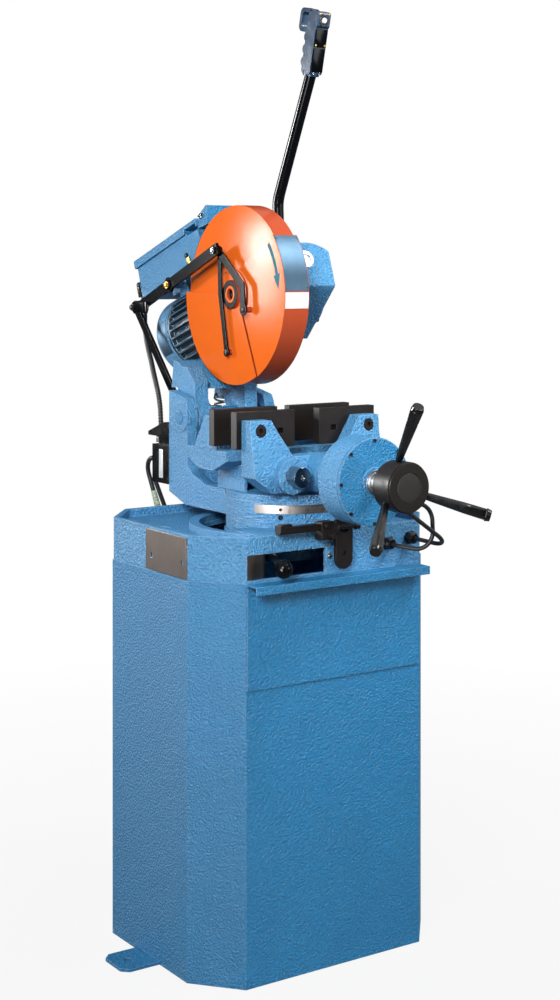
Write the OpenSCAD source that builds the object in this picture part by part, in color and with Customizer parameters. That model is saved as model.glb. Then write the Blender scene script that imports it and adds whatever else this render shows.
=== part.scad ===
// Cold saw with a pivoting head on a swivelling trunnion, a screw vise, a guard that opens as the
// head comes down, and a sheet-metal stand. Lengths in mm, X right, Y to the rear, Z up, origin at
// the middle of the stand's foot.

/* [Stand] */
// Width of the cabinet
stand_width = 570; // [480:1:660]
// Depth of the cabinet
stand_depth = 478; // [420:1:560]
// Height of the cabinet
stand_height = 768; // [600:1:900]
// Corner chamfer along the width
chamfer_x = 76; // [40:1:110]
// Corner chamfer along the depth
chamfer_y = 90; // [40:1:120]
// Sheet thickness
sheet = 3; // [2:0.5:5]
// Reach of a floor tab beyond the side
tab_reach = 80; // [50:1:110]
// Radius of the hole in a floor tab
tab_hole_r = 7; // [5:0.5:10]

/* [Tray] */
// Height of the cast tray
tray_height = 87; // [60:1:110]
// Depth of the basin below the rim
basin_depth = 17; // [10:1:30]
// Outer radius of the chip collar
collar_r = 200; // [190:1:215]

/* [Turntable] */
// Place of the turntable axis along Y
turn_y = -70; // [-90:1:-50]
// Radius of the turntable drum
turn_r = 125; // [110:1:140]
// Radius of the fixed post
post_r = 60; // [45:1:70]

/* [Head] */
// Radius of the hinge pin
pin_r = 18; // [12:1:24]
// Place of the hinge along Y
hinge_y = 171; // [160:1:185]
// Height of the hinge
hinge_z = 1050; // [1040:1:1060]
// Place of the spindle along Y
spindle_y = 85; // [80:1:90]
// Height of the spindle
spindle_z = 1311; // [1305:1:1315]
// Tilt of the motor and gear case
head_tilt = 19; // [10:1:25]
// Radius of the motor over its fins
motor_r = 96; // [80:1:98]
// Number of cooling fins
fin_count = 32; // [20:2:40]

/* [Blade and guard] */
// Radius of the blade
blade_r = 175; // [150:1:178]
// Thickness of the blade
blade_t = 2.5; // [1.5:0.1:3]
// Number of blade teeth
tooth_count = 90; // [60:2:120]
// Radius of the moving guard
guard_r = 191; // [187:1:192]
// Thickness of the guard sheet
guard_t = 2; // [1.5:0.5:2.5]

/* [Vise] */
// Height of the work bed
bed_z = 1000; // [990:1:1010]
// Height of a jaw plate
jaw_h = 73; // [60:1:74]
// Opening of the vise as built
vise_gap = 65; // [50:1:70]
// Height of the screw and the guide rods
screw_z = 960; // [955:1:965]
// Radius of a guide rod
rod_r = 20; // [15:1:22]
// Radius of the power drum
drum_r = 85; // [70:1:88]
// Radius of the handwheel to the tips
wheel_r = 158; // [130:1:170]

/* [Hidden] */
$fn = 96;
turn_fit = 0.05;
gap = 0.3;
tray_z = stand_height;
rim_z = tray_z + tray_height;
basin_z = rim_z - basin_depth;
floor_t = 10;
lower_z = 866;
drum_top = 905;
disc_top = 918;
cheek_in = 86;
cheek_out = 110;
axis_x = 84;
axis_z = 1350;
motor_dz = -22;
case_left = -50;
case_right = 62;
front_face = -108;
motor_face = 222;
fan_face = 336;
motor_end = 384;
pinion_end = 60;
rear_jaw_y = -56;
front_jaw_y = rear_jaw_y - vise_gap;
jaw_t = 20;
jaw_low = 11;
rear_jaw_t = 18;
carriage_y = front_jaw_y - jaw_t;
drum_back = -299;
drum_front = -365;
rod_x = 75;
nose_r = 41;
screw_r = 14;
hub_back = -420;
hub_front = -472;
hub_side = 46;
arm_lean = 36.7;
arm_p = [313, 1329];
arm_q = [448, 1277];
arm_f = [121, 1404];
pin_rear = [93, 1189];
pin_front = [21, 1280];
rod_g = [227, 1035.5];
arm_x = -58;
link_x = -49.5;
link_in = -45;
link_t = 3.5;
arm_w = 24;
prod_x = -66;
hub_r = 30;
stud_r = 6;
grip_foot = [-31, 1768];
grip_lean = 14;
button_s = 118;
button_r = 6;
grip_x = 86;
tube_foot = [85, 1376];
tube_bend = [92, 1511];
tube_end = [-35, 1778];
tube_r = 12;
bend_r = 60;
bend_lap = 2;
bend_swell = 0.15;
lever_pivot = [-80, -130];
lever_z = 796;
knob_at = [-147, -275];
C_stand = "#6f9fcf";
C_cast = "#4a82b8";
C_guard = "#f26f2b";
C_black = "#2b2b2d";
C_steel = "#b9bdc1";
hose_r = 4.3;
seat_a = [22, 35];
seat_y = [-332, -346];
conduit_r = 6;
conduit_ribs = 64;
elbow_x = -96;
elbow_y = 415;
elbow_z = 112;
conduit_end = [-93, 283, 1003];
spring_top = [40, 262, 1082];
spring_low = [40, 240, 908];
spring_coils = 14;
spring_r = 15;
wire_r = 2.4;
// A point straight out of the drum's side, at a distance from the screw
function seat_point(k, r) = [r * cos(seat_a[k]), seat_y[k], screw_z - r * sin(seat_a[k])];
// A point on the line of the elbow fitting behind the electrical box, at a height in the head's frame
function elbow_point(h) = [axis_x + elbow_x, spindle_y + elbow_y * cos(head_tilt) + h * sin(head_tilt),
    axis_z - elbow_y * sin(head_tilt) + h * cos(head_tilt)];
// The conduit's route, from the elbow fitting down to the valve hood
conduit_route = [elbow_point(elbow_z - 6), elbow_point(elbow_z - 32), [-18, 488, 1264], [-29, 468, 1242],
    [-40, 446, 1222], [-50, 422, 1201], [-59, 397, 1180], [-67, 372, 1159], [-75, 349, 1138],
    [-82, 326, 1116], [-87, 306, 1092], [-91, 291, 1065], conduit_end + [0, 1, 32], conduit_end];
// Corner points of the hoses from the tray to the drum, and of the cables down the back
hose_a = [[128, -246, 816], [128, -270, 815], [166, -338, 808], seat_point(0, 180), seat_point(0, 91)];
hose_b = [[185, -246, 822], [185, -268, 822], seat_point(1, 255), seat_point(1, 91)];
cable_a = [[-97, 293, 950], [-97, 352, 950], [8, 330, 574], [8, 250, 574]];
cable_b = [[-82, 293, 928], [-82, 352, 928], [50, 330, 576], [50, 250, 576]];
hose_bend = 35.5;
cable_bend = 42;
cable_r = 5;
bend_steps = 8;

// Places of a stretch of 2D outline standing in the Y-Z plane
module yz(x, w) {
    translate([x, 0, 0])
        rotate([90, 0, 90])
            linear_extrude(w)
                children();
}

// An outline in the X-Z plane, from y towards the front
module xz(y, d) {
    translate([0, y, 0])
        rotate([90, 0, 0])
            linear_extrude(d)
                children();
}

module rod_x(x, y, z, r, w) {
    translate([x, y, z])
        rotate([0, 90, 0])
            cylinder(r = r, h = w);
}

module rod_y(x, y, z, r, d) {
    translate([x, y, z])
        rotate([90, 0, 0])
            cylinder(r = r, h = d);
}

module round_rect(w, h, r) {
    square([w - 2 * r, h], center = true);
    square([w, h - 2 * r], center = true);
    for (sx = [-1, 1])
        for (sy = [-1, 1])
            translate([sx * (w / 2 - r), sy * (h / 2 - r)])
                circle(r, $fn = 48);
}

// A flat bar with round ends between two points
module bar2(a, b, w) {
    v = b - a;
    len = norm(v);
    translate(a)
        rotate(atan2(v[1], v[0]))
            translate([0, -w / 2])
                square([len, w]);
    for (p = [a, b])
        translate(p)
            circle(d = w);
}

module mirror_x() {
    children();
    mirror([1, 0, 0])
        children();
}

// The frame of the motor and gear case: y along the motor, z up
module head_frame() {
    translate([axis_x, spindle_y, axis_z])
        rotate([-head_tilt, 0, 0])
            children();
}

module octagon(inset) {
    w = stand_width / 2 - inset;
    d = stand_depth / 2 - inset;
    cx = chamfer_x - inset * 0.4;
    cy = chamfer_y - inset * 0.4;
    polygon([[-w + cx, -d], [w - cx, -d], [w, -d + cy], [w, d - cy], [w - cx, d], [-w + cx, d],
        [-w, d - cy], [-w, -d + cy]]);
}

shelf_z = 566;
door_w = 416;
door_low = 565;
door_top = 767;

module cabinet() {
    color(C_stand)
        difference() {
            linear_extrude(stand_height)
                octagon(0);
            translate([0, 0, sheet])
                linear_extrude(shelf_z - 2 * sheet)
                    octagon(sheet);
            translate([0, 0, shelf_z])
                linear_extrude(stand_height)
                    octagon(sheet);
            translate([-200, -stand_depth / 2 - 1, shelf_z + 4])
                cube([400, 10, 184]);
        }
}

module floor_tabs() {
    half = 44;
    color(C_stand)
        mirror_x()
            translate([stand_width / 2, 0, 0])
                difference() {
                    linear_extrude(6)
                        polygon([[0, -half], [tab_reach - 14, -half], [tab_reach, -half + 14],
                            [tab_reach, half - 14], [tab_reach - 14, half], [0, half]]);
                    translate([47, 0, -1])
                        cylinder(r = tab_hole_r, h = 8);
                }
}

module ring_sector(r1, r0, a0, a1, far) {
    step = (a1 - a0) / 8;
    intersection() {
        difference() {
            circle(r1);
            circle(r0);
        }
        polygon(concat([[0, 0]], [for (i = [0:8]) far * [cos(a0 + i * step), sin(a0 + i * step)]]));
    }
}

module tray() {
    slot_in = turn_r + 3;
    slot_out = collar_r - 22;
    front_y = -stand_depth / 2 + 2;
    color(C_cast)
        difference() {
            union() {
                difference() {
                    translate([0, 0, tray_z])
                        linear_extrude(tray_height)
                            octagon(2);
                    translate([0, 0, tray_z - 1])
                        linear_extrude(basin_z - floor_t - tray_z + 1)
                            octagon(10);
                    translate([0, 0, basin_z])
                        linear_extrude(basin_depth + 1)
                            octagon(12);
                }
                difference() {
                    translate([-165, front_y + 4, basin_z - 1])
                        cube([330, -front_y - 124, 16]);
                    translate([0, turn_y, basin_z - 2])
                        cylinder(r = turn_r + gap, h = 30);
                }
                translate([0, turn_y, tray_z + 12])
                    cylinder(r = 70, h = basin_z - tray_z - 14);
                translate([lever_pivot[0], lever_pivot[1], lever_z - 12])
                    cylinder(r = 8, h = basin_z - lever_z + 6);
            }
            translate([0, turn_y, basin_z - floor_t - 1])
                linear_extrude(floor_t + 2)
                    ring_sector(slot_out, slot_in, -22, 202, 300);
            translate([-205, front_y - 4, tray_z + 5])
                cube([183, 30, 48]);
            translate([-214, 50, basin_z - floor_t - 1])
                cube([10, 36, floor_t + 2]);
        }
}

module chip_collar() {
    color(C_cast)
        translate([0, turn_y, basin_z])
            difference() {
                linear_extrude(13)
                    ring_sector(collar_r, collar_r - 20, -40, 220, 400);
                translate([-165 - gap, -300, -1])
                    cube([330 + 2 * gap, 300 - 50 + gap, 20]);
            }
}

module blank_plate() {
    x = -stand_width / 2 + 2;
    color(C_steel)
        difference() {
            translate([x - 3, -147, tray_z + 3])
                cube([3, 156, 79]);
            for (y = [-131, -14])
                rod_x(x - 4, y, tray_z + 32, 5, 6);
        }
}

module pedestal() {
    color(C_cast)
        translate([0, turn_y, 0]) {
            translate([0, 0, basin_z])
                cylinder(r = turn_r, h = lower_z - basin_z);
            translate([0, 0, lower_z - 1])
                cylinder(r = post_r, h = drum_top + gap - lower_z + 1);
        }
}

module vise_bed() {
    wing = [[-72, bed_z], [81, bed_z], [81, bed_z - 20], [54, bed_z - 33], [28, bed_z - 42],
        [-18, bed_z - 42], [-44, bed_z - 34], [-72, bed_z - 20]];
    color(C_cast)
        difference() {
            union() {
                translate([0, turn_y, drum_top + gap])
                    cylinder(r = turn_r, h = disc_top - drum_top - gap);
                difference() {
                    translate([-105, -70, disc_top - 1])
                        cube([210, 100, bed_z - disc_top - 30]);
                    for (s = [-1, 1])
                        translate([s * 75 - 22, -71, disc_top])
                            cube([44, 60, 18]);
                }
                yz(-149, 298)
                    polygon(wing);
                mirror_x()
                    yz(100, 50)
                        polygon([[rear_jaw_y + rear_jaw_t, bed_z - 1], [rear_jaw_y + rear_jaw_t, bed_z + 67],
                            [7, bed_z + 67], [46, bed_z + 6], [46, bed_z - 1]]);
            }
            translate([-8, -80, 978])
                cube([16, 200, 60]);
            rod_y(0, 95, screw_z, screw_r + turn_fit, 175);
            mirror_x()
                rod_y(rod_x, 10, screw_z, rod_r, 100);
            mirror_x()
                rod_y(125, 50, bed_z + 48, 6.5, 100);
        }
}

module rear_jaws() {
    color(C_black)
        mirror_x()
            difference() {
                translate([15, rear_jaw_y, bed_z + jaw_low])
                    cube([152, rear_jaw_t, jaw_h]);
                rod_y(125, -30, bed_z + 48, 6.5, 40);
                rod_y(125, rear_jaw_y + 9, bed_z + 48, 11, 20);
            }
}

module cap_screw(x, y, z, depth) {
    rod_y(x, y + depth, z, 6.4, depth);
    difference() {
        rod_y(x, y + 8, z, 10.4, 8);
        rod_y(x, y + 5, z, 5, 8, $fn = 6);
    }
}

module rear_screws() {
    color(C_steel)
        mirror_x()
            cap_screw(125, rear_jaw_y + 1, bed_z + 48, 60);
}

module guide_rods() {
    color(C_steel)
        mirror_x()
            difference() {
                rod_y(rod_x, 10, screw_z, rod_r, 244);
                rod_y(rod_x, -228, screw_z, 5, 10);
            }
}

module vise_carriage() {
    front = [[-156, 958], [-156, bed_z + 68], [-107, bed_z + 68], [-62, 996], [62, 996], [107, bed_z + 68],
        [156, bed_z + 68], [156, 958], [112, 926], [-112, 926]];
    side = [[carriage_y, 900], [carriage_y, bed_z + 68], [carriage_y - 31, bed_z + 68],
        [carriage_y - 33, bed_z + 40], [carriage_y - 48, 962], [carriage_y - 48, 936],
        [carriage_y - 36, 900]];
    color(C_cast)
        difference() {
            union() {
                intersection() {
                    yz(-160, 320)
                        polygon(side);
                    xz(0, 300)
                        polygon(front);
                }
                mirror_x()
                    rod_y(rod_x, carriage_y, screw_z, 36, 64);
                rod_y(0, carriage_y - 20, screw_z, nose_r, carriage_y - 20 - drum_back);
            }
            translate([-8, -250, 980])
                cube([16, 120, 60]);
            mirror_x()
                rod_y(rod_x, 0, screw_z, rod_r + turn_fit, 300);
            rod_y(0, 0, screw_z, screw_r + turn_fit, 400);
            mirror_x()
                rod_y(131, -100, bed_z + 48, 6.5, 120);
            mirror_x()
                rod_y(131, carriage_y - 22, bed_z + 48, 13, 30);
        }
}

module front_jaws() {
    color(C_black)
        mirror_x()
            difference() {
                translate([30, carriage_y, bed_z + jaw_low])
                    cube([138, jaw_t, jaw_h]);
                rod_y(131, -90, bed_z + 48, 6.5, 60);
                translate([58, carriage_y - 1, bed_z + 38])
                    cube([15, 10, 11]);
            }
}

module front_screws() {
    color(C_steel)
        mirror_x() {
            rod_y(131, carriage_y + 12, bed_z + 48, 6.4, 36);
            difference() {
                rod_y(131, carriage_y - 22, bed_z + 48, 11, 10);
                rod_y(131, carriage_y - 27, bed_z + 48, 5.5, 10, $fn = 6);
            }
        }
}

module vise_drum() {
    color(C_stand)
        difference() {
            union() {
                rod_y(0, drum_back, screw_z, drum_r, drum_back - drum_front - 8);
                rod_y(0, drum_back + 6, screw_z, drum_r - 16, 8);
                for (k = [0, 1])
                    hose_seat(k)
                        gland(11);
            }
            for (k = [0, 1])
                hose_seat(k)
                    translate([0, 0, 5])
                        cylinder(r = hose_r + gap, h = 30);
            rod_y(0, 0, screw_z, screw_r + 0.6, 400);
            rod_y(0, drum_back + 7, screw_z, nose_r + gap, 7);
            mirror_x()
                rod_y(rod_x, drum_back + 7, screw_z, rod_r + 1, 7 + gap);
        }
}

// Place of a hose fitting on the drum's side, z outward
module hose_seat(k) {
    translate([0, seat_y[k], screw_z])
        rotate([0, 90 + seat_a[k], 0])
            translate([0, 0, drum_r - 1])
                children();
}

module drum_cover() {
    color(C_stand)
        difference() {
            union() {
                rod_y(0, drum_front + 8, screw_z, drum_r, 6);
                rod_y(0, drum_front + 3, screw_z, drum_r - 2, 3);
                rod_y(0, drum_front + 1, screw_z, 28, 3);
            }
            rod_y(0, 0, screw_z, screw_r + turn_fit, 400);
        }
}

module drum_screws() {
    circle_r = drum_r - 6;
    color(C_black)
        for (i = [0:7])
            rotate_about(0, screw_z, 45 * i)
                difference() {
                    rod_y(circle_r, drum_front, screw_z, 3.4, 2.6);
                    rod_y(circle_r, drum_front - 1.4, screw_z, 1.7, 4, $fn = 6);
                }
}

// Turn about an axis along Y through x and z
module rotate_about(x, z, a) {
    translate([x, 0, z])
        rotate([0, a, 0])
            translate([-x, 0, -z])
                children();
}

module vise_screw() {
    collar_y = drum_front - 2 - gap;
    ring_gap = 6;
    color(C_steel)
        union() {
            rod_y(0, 20, screw_z, screw_r, 20 - collar_y + 12);
            rod_y(0, collar_y, screw_z, 24, 5);
            rod_y(0, collar_y - 4, screw_z, 19, 4);
            rod_y(0, collar_y - 11, screw_z, screw_r - 2, collar_y - 11 - hub_back + 4);
            for (i = [0:5])
                rod_y(0, collar_y - 14 - ring_gap * i, screw_z, screw_r + 1, 3.2);
        }
}

// Frame of one handwheel arm, z along the arm
module arm_frame(i) {
    rotate_about(0, screw_z, -99 - 120 * i)
        translate([hub_side, (hub_back + hub_front) / 2, screw_z])
            rotate([0, 0, -arm_lean])
                rotate([0, 90, 0])
                    children();
}

module wheel_hub() {
    color(C_black)
        difference() {
            union() {
                rod_y(0, hub_back, screw_z, hub_side, 8);
                rod_y(0, hub_back - 6, screw_z, hub_side + 2, hub_back - 6 - hub_front - 4);
                rod_y(0, hub_front + 6, screw_z, hub_side, 6);
            }
            rod_y(0, hub_back + 1, screw_z, screw_r - 2, 6);
            rod_y(0, hub_front + 3, screw_z, 28, 6);
            for (i = [0:2])
                arm_frame(i)
                    translate([0, 0, -14])
                        cylinder(r = 6, h = 30);
        }
}

// Tapered handles with four flats before the flared tip
module wheel_arms() {
    arm_len = (wheel_r - hub_side) / cos(arm_lean);
    tip = 8;
    flat_len = 44;
    flat_r = 10.2;
    color(C_black)
        for (i = [0:2])
            arm_frame(i) {
                translate([0, 0, -14])
                    cylinder(r = 6, h = 25);
                difference() {
                    translate([0, 0, 10])
                        cylinder(r1 = 7, r2 = 12.4, h = arm_len - tip - 10);
                    for (k = [0:3])
                        rotate(90 * k)
                            translate([flat_r, -12, arm_len - tip - flat_len])
                                cube([8, 24, flat_len - 2]);
                }
                translate([0, 0, arm_len - tip - 0.5])
                    cylinder(r1 = 12.3, r2 = 10.5, h = tip);
            }
}

module stop_bar() {
    color(C_black)
        union() {
            translate([-144, -258, 858])
                cube([94, 16, 13]);
            translate([-140, -256, 870])
                cube([26, 12, 6]);
            translate([-144, -260, 862])
                cube([8, 20, 12]);
        }
}

module stop_block() {
    color(C_black)
        union() {
            translate([-50, -264, 840])
                cube([30, 24, 35]);
            translate([-20, -262, 852])
                cube([12, 14, 18]);
            rod_x(-9, -258, 862, 5, 50);
            rod_x(33, -258, 862, 8, 9);
            rod_y(-28, -263, 848, 6, 10);
            rod_y(-40, -263, 868, 5, 8);
        }
}

module stop_plate() {
    color(C_black)
        difference() {
            xz(-244, 8)
                union() {
                    translate([-8, 798])
                        square([40, 77]);
                    translate([12, 798])
                        circle(20);
                }
            rod_y(12, -240, 856, 5, 20);
            rod_y(12, -240, 808, 5, 20);
        }
    color(C_black)
        difference() {
            translate([-8, -244, 836])
                cube([40, 7, 17]);
            rod_y(12, -230, 856, 5, 20);
        }
}

module gland(r) {
    cylinder(r = r, h = 6, $fn = 6);
    translate([0, 0, 5])
        cylinder(r = r * 0.82, h = 9);
    translate([0, 0, 13])
        cylinder(r1 = r * 0.82, r2 = r * 0.62, h = 6);
}

module hose_glands() {
    color(C_black) {
        for (p = [[128, 816], [185, 822]])
            translate([p[0], -stand_depth / 2 + 2, p[1]])
                rotate([90, 0, 0])
                    gland_ring(14, hose_r + gap);
        for (p = [[8, 574], [50, 576]])
            translate([p[0], stand_depth / 2, p[1]])
                rotate([-90, 0, 0])
                    gland_ring(13, 5.3);
    }
}

module gland_ring(r, bore) {
    difference() {
        gland(r);
        translate([0, 0, 3])
            cylinder(r = bore, h = 30);
    }
}

module drawer() {
    y0 = -stand_depth / 2;
    color(C_stand)
        union() {
            translate([-door_w / 2, y0 - 3 - gap, door_low])
                cube([door_w, 3, door_top - door_low]);
            translate([-door_w / 2, y0 - 36, door_top - 3])
                cube([door_w, 36 - gap, 3]);
            translate([-door_w / 2, y0 - 36, door_top - 16])
                cube([door_w, 3, 16]);
            difference() {
                translate([-195, y0 - 1, shelf_z + 6])
                    cube([390, 400, 174]);
                translate([-193, y0 + 2, shelf_z + 8])
                    cube([386, 395, 200]);
            }
        }
}

module cheek(x) {
    profile = [[219, 1104], [152, 1091], [143, 1076], [143, 948], [122, 934], [71, 917], [-20, 916],
        [-34, 906],
        [-34, lower_z + gap], [150, lower_z + gap], [219, 888]];
    yz(x, cheek_out - cheek_in)
        polygon(profile);
}

module trunnion() {
    color(C_cast)
        difference() {
            union() {
                translate([0, turn_y, lower_z + gap])
                    cylinder(r = turn_r, h = drum_top - lower_z - gap);
                difference() {
                    union() {
                        cheek(-cheek_out);
                        cheek(cheek_in);
                        yz(-cheek_in - 1, 2 * cheek_in + 2)
                            polygon([[-20, lower_z + gap], [-20, 896], [186, 896], [192, 1000], [214, 1000],
                                [214, lower_z + gap]]);
                    }
                    translate([0, turn_y, drum_top])
                        cylinder(r = turn_r + 1, h = 40);
                }
                for (x = [-cheek_out - 3, cheek_in])
                    rod_x(x, hinge_y, hinge_z, 32, cheek_out - cheek_in + 3);
                yz(-57, 8)
                    polygon([[192, 960], [213, 960], [243, 1028], [243, 1044], [232, 1051], [214, 1046],
                        [192, 1000]]);
                rod_x(prod_x - 1, rod_g[0], rod_g[1], 7, -56 - prod_x);
                translate([spring_low[0] - 4, 206, spring_low[2] - 12])
                    cube([8, 40, 16]);
            }
            translate([0, turn_y, lower_z - 1])
                cylinder(r = post_r + turn_fit, h = 60);
            rod_x(-140, hinge_y, hinge_z, pin_r, 280);
            rod_x(spring_low[0] - 10, spring_low[1], spring_low[2] - 4, 3.8, 20);
        }
}

module scale_band() {
    color(C_steel)
        translate([0, turn_y, 882])
            linear_extrude(17)
                ring_sector(turn_r + 1.4, turn_r, 205, 304, 300);
}

module hinge_pin() {
    color(C_cast)
        union() {
            rod_x(-cheek_out - 3, hinge_y, hinge_z, pin_r, 2 * cheek_out + 6);
            rod_x(-cheek_out - 6, hinge_y, hinge_z, pin_r - 3, 4);
            rod_x(cheek_out + 2, hinge_y, hinge_z, pin_r - 3, 4);
        }
}

module junction_box() {
    color(C_black)
        difference() {
            union() {
                translate([-112, 219, 902])
                    cube([44, 69, 82]);
                translate([-104, 219, 983])
                    cube([28, 55, 19]);
                translate([-97, 288, 950])
                    rotate([-90, 0, 0])
                        gland(11);
                translate([-82, 288, 928])
                    rotate([-90, 0, 0])
                        gland(11);
            }
            translate([-97, 292, 950])
                rotate([-90, 0, 0])
                    cylinder(r = 5.3, h = 30);
            translate([-82, 292, 928])
                rotate([-90, 0, 0])
                    cylinder(r = 5.3, h = 30);
        }
}

module valve_hood() {
    color(C_black)
        difference() {
            yz(-112, 40)
                polygon([[219, 1002], [219, 1036], [240, 1034], [306, 1010], [306, 1002]]);
            translate([conduit_end[0], conduit_end[1], 990])
                cylinder(r = conduit_r + 0.4, h = 60);
        }
}

module push_rod() {
    color(C_black)
        yz(prod_x, 6)
            difference() {
                union() {
                    bar2(rod_g, arm_q, 20);
                    translate(arm_q)
                        circle(15);
                }
                translate(rod_g)
                    circle(7 + turn_fit);
                translate(arm_q)
                    circle(10.4);
            }
}

// Gear case, hinge arms and the neck that carries the guard
module head_casting() {
    side = [[front_face, 40], [front_face, -58], [-103, -62], [28, -134], [70, -118], [140, -106],
        [motor_face, -102], [motor_face, 72], [60, 70]];
    color(C_cast)
        difference() {
            union() {
                head_frame()
                    intersection() {
                        yz(case_left, case_right - case_left)
                            polygon(side);
                        rotate([90, 0, 0])
                            translate([0, 0, -300])
                                linear_extrude(600)
                                    intersection() {
                                        translate([case_left, -200])
                                            square([case_right - case_left, 300]);
                                        translate([4, -58])
                                            circle(95);
                                    }
                    }
                head_frame()
                    translate([0, motor_face, motor_dz])
                        rotate([90, 0, 0])
                            intersection() {
                                cylinder(r = motor_r - 4, h = 60);
                                translate([case_left, -200, -1])
                                    cube([200, 400, 80]);
                            }
                yz(-83, 166)
                    polygon([[166, 1108], [186, 1134], [226, 1164], [246, 1166], [254, 1108]]);
                yz(-83, 34)
                    polygon([[137, 1050], [158, 1088], [158, 1122], [190, 1154], [228, 1155], [228, 1088],
                        [205, 1050]]);
                yz(31, 31)
                    polygon([[137, 1050], [137, 1086], [141, 1130], [252, 1130], [205, 1050]]);
                yz(36, 47)
                    polygon([[118, 1124], [90, 1236], [96, 1290], [270, 1240], [250, 1160], [246, 1124]]);
                rod_x(-83, hinge_y, hinge_z, 34, 34);
                rod_x(31, hinge_y, hinge_z, 34, 31);
                rod_x(24, spindle_y, spindle_z, 60, 14);
                translate([spring_top[0] - 4, 236, spring_top[2] - 4])
                    cube([8, 34, 62]);
                translate([grip_x, tube_foot[0], 1352])
                    cylinder(r = 21, h = 46);
            }
            tube_leg(tube_foot, tube_bend, tube_r);
            rod_x(-100, hinge_y, hinge_z, pin_r + turn_fit, 200);
            rod_x(20, spindle_y, spindle_z, 42, 14);
            rod_x(30, spindle_y, spindle_z, 32, 40);
            rod_x(62, spindle_y, spindle_z, 66, 100);
            head_frame()
                translate([0, motor_face + 1, motor_dz])
                    rotate([90, 0, 0])
                        cylinder(r = 14, h = 190);
            rod_x(spring_top[0] - 10, spring_top[1], spring_top[2] + 4, 3.8, 20);
            head_frame()
                translate([0, front_face + 6, 0])
                    rotate([90, 0, 0])
                        cylinder(r = 18, h = 20);
        }
}

module gear_cover() {
    color(C_cast)
        difference() {
            union() {
                rod_x(axis_x + case_right + gap, spindle_y, spindle_z, 74, 7);
                rod_x(axis_x + case_right + 6, spindle_y, spindle_z, 44, 9);
                rod_x(123, spindle_y, spindle_z, 66 - turn_fit, 26);
                for (i = [0:5])
                    rotate_x(60 * i)
                        rod_x(axis_x + case_right + 6, spindle_y + 64, spindle_z, 6, 7);
            }
            rod_x(110, spindle_y, spindle_z, 32, 34);
        }
}

// Turn about the spindle
module rotate_x(a) {
    translate([0, spindle_y, spindle_z])
        rotate([a, 0, 0])
            translate([0, -spindle_y, -spindle_z])
                children();
}

module front_plug() {
    color(C_steel)
        head_frame()
            translate([0, front_face + 6, 0])
                rotate([90, 0, 0])
                    difference() {
                        union() {
                            cylinder(r = 18, h = 8);
                            translate([0, 0, 7])
                                cylinder(r = 15, h = 2);
                        }
                        translate([0, 0, 6.5])
                            cylinder(r = 10, h = 4);
                    }
}

module motor_body() {
    color(C_cast)
        head_frame()
            translate([0, fan_face, motor_dz])
                rotate([90, 0, 0])
                    difference() {
                        union() {
                            cylinder(r = motor_r - 1, h = 8);
                            translate([0, 0, fan_face - motor_face - 9])
                                cylinder(r = motor_r - 1, h = 9);
                            linear_extrude(fan_face - motor_face - 2)
                                union() {
                                    circle(motor_r - 13);
                                    for (i = [0:fin_count - 1])
                                        rotate(360 * i / fin_count)
                                            translate([motor_r - 16, -1.8])
                                                square([15, 3.6]);
                                }
                        }
                        translate([0, 0, -1])
                            cylinder(r = 10 + turn_fit, h = 200);
                    }
}

module fan_cover() {
    len = motor_end - fan_face - gap;
    color(C_cast)
        head_frame()
            translate([0, motor_end, motor_dz])
                rotate([90, 0, 0])
                    difference() {
                        union() {
                            cylinder(r = motor_r, h = len);
                            translate([0, 0, -5])
                                cylinder(r1 = motor_r - 10, r2 = motor_r, h = 5);
                        }
                        cylinder(r = motor_r - 3, h = len + 1);
                        for (k = [0:3])
                            translate([0, 0, -6])
                                linear_extrude(8)
                                    difference() {
                                        circle(26 + 13 * k);
                                        circle(18 + 13 * k);
                                        for (s = [0:3])
                                            rotate(45 * s)
                                                square([200, 7], center = true);
                                    }
                    }
}

module fan() {
    color(C_black)
        head_frame()
            translate([0, motor_end - 10, motor_dz])
                rotate([90, 0, 0])
                    difference() {
                        union() {
                            cylinder(r = 26, h = 30);
                            translate([0, 0, 26])
                                cylinder(r = 74, h = 4);
                            for (i = [0:7])
                                rotate(45 * i)
                                    translate([22, -1.5, 0])
                                        cube([50, 3, 28]);
                        }
                        translate([0, 0, -1])
                            cylinder(r = 10, h = 60);
                    }
}

module rotor() {
    color(C_steel)
        head_frame()
            translate([0, motor_end - 12, motor_dz])
                rotate([90, 0, 0])
                    union() {
                        cylinder(r = 10, h = motor_end - 12 - pinion_end);
                        translate([0, 0, motor_end - 12 - pinion_end])
                            linear_extrude(26)
                                union() {
                                    circle(13);
                                    for (i = [0:9])
                                        rotate(36 * i)
                                            translate([8, -2])
                                                square([9.5, 4]);
                                }
                    }
}

module terminal_box() {
    color(C_cast)
        head_frame()
            translate([-92, 236, 50])
                difference() {
                    cube([104, 54, 29]);
                    translate([92, 80, motor_dz - 50])
                        rotate([90, 0, 0])
                            cylinder(r = motor_r + 1, h = 120);
                }
}

module control_box() {
    color(C_stand)
        difference() {
            union() {
                head_frame()
                    difference() {
                        union() {
                            translate([-104, 172, 79])
                                cube([170, 232, 85]);
                            translate([-104, 122, 79])
                                cube([170, 52, 71]);
                            translate([-104, 206, 30])
                                cube([6, 34, 50]);
                        }
                        translate([-101, 175, 82])
                            cube([164, 226, 100]);
                    }
                rod_x(arm_x - 2, arm_p[0], arm_p[1], 8, 44);
                head_frame()
                    translate([elbow_x, 403, elbow_z])
                        rotate([-90, 0, 0])
                            cylinder(r = 9, h = elbow_y - 403);
                head_frame()
                    translate([elbow_x, elbow_y, elbow_z - 18])
                        cylinder(r = 9.6, h = 29);
            }
            head_frame()
                translate([elbow_x, elbow_y, elbow_z - 20])
                    cylinder(r = conduit_r + 0.4, h = 20);
            rod_x(-30, spindle_y, spindle_z, guard_r + 5, 64);
        }
}

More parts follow.
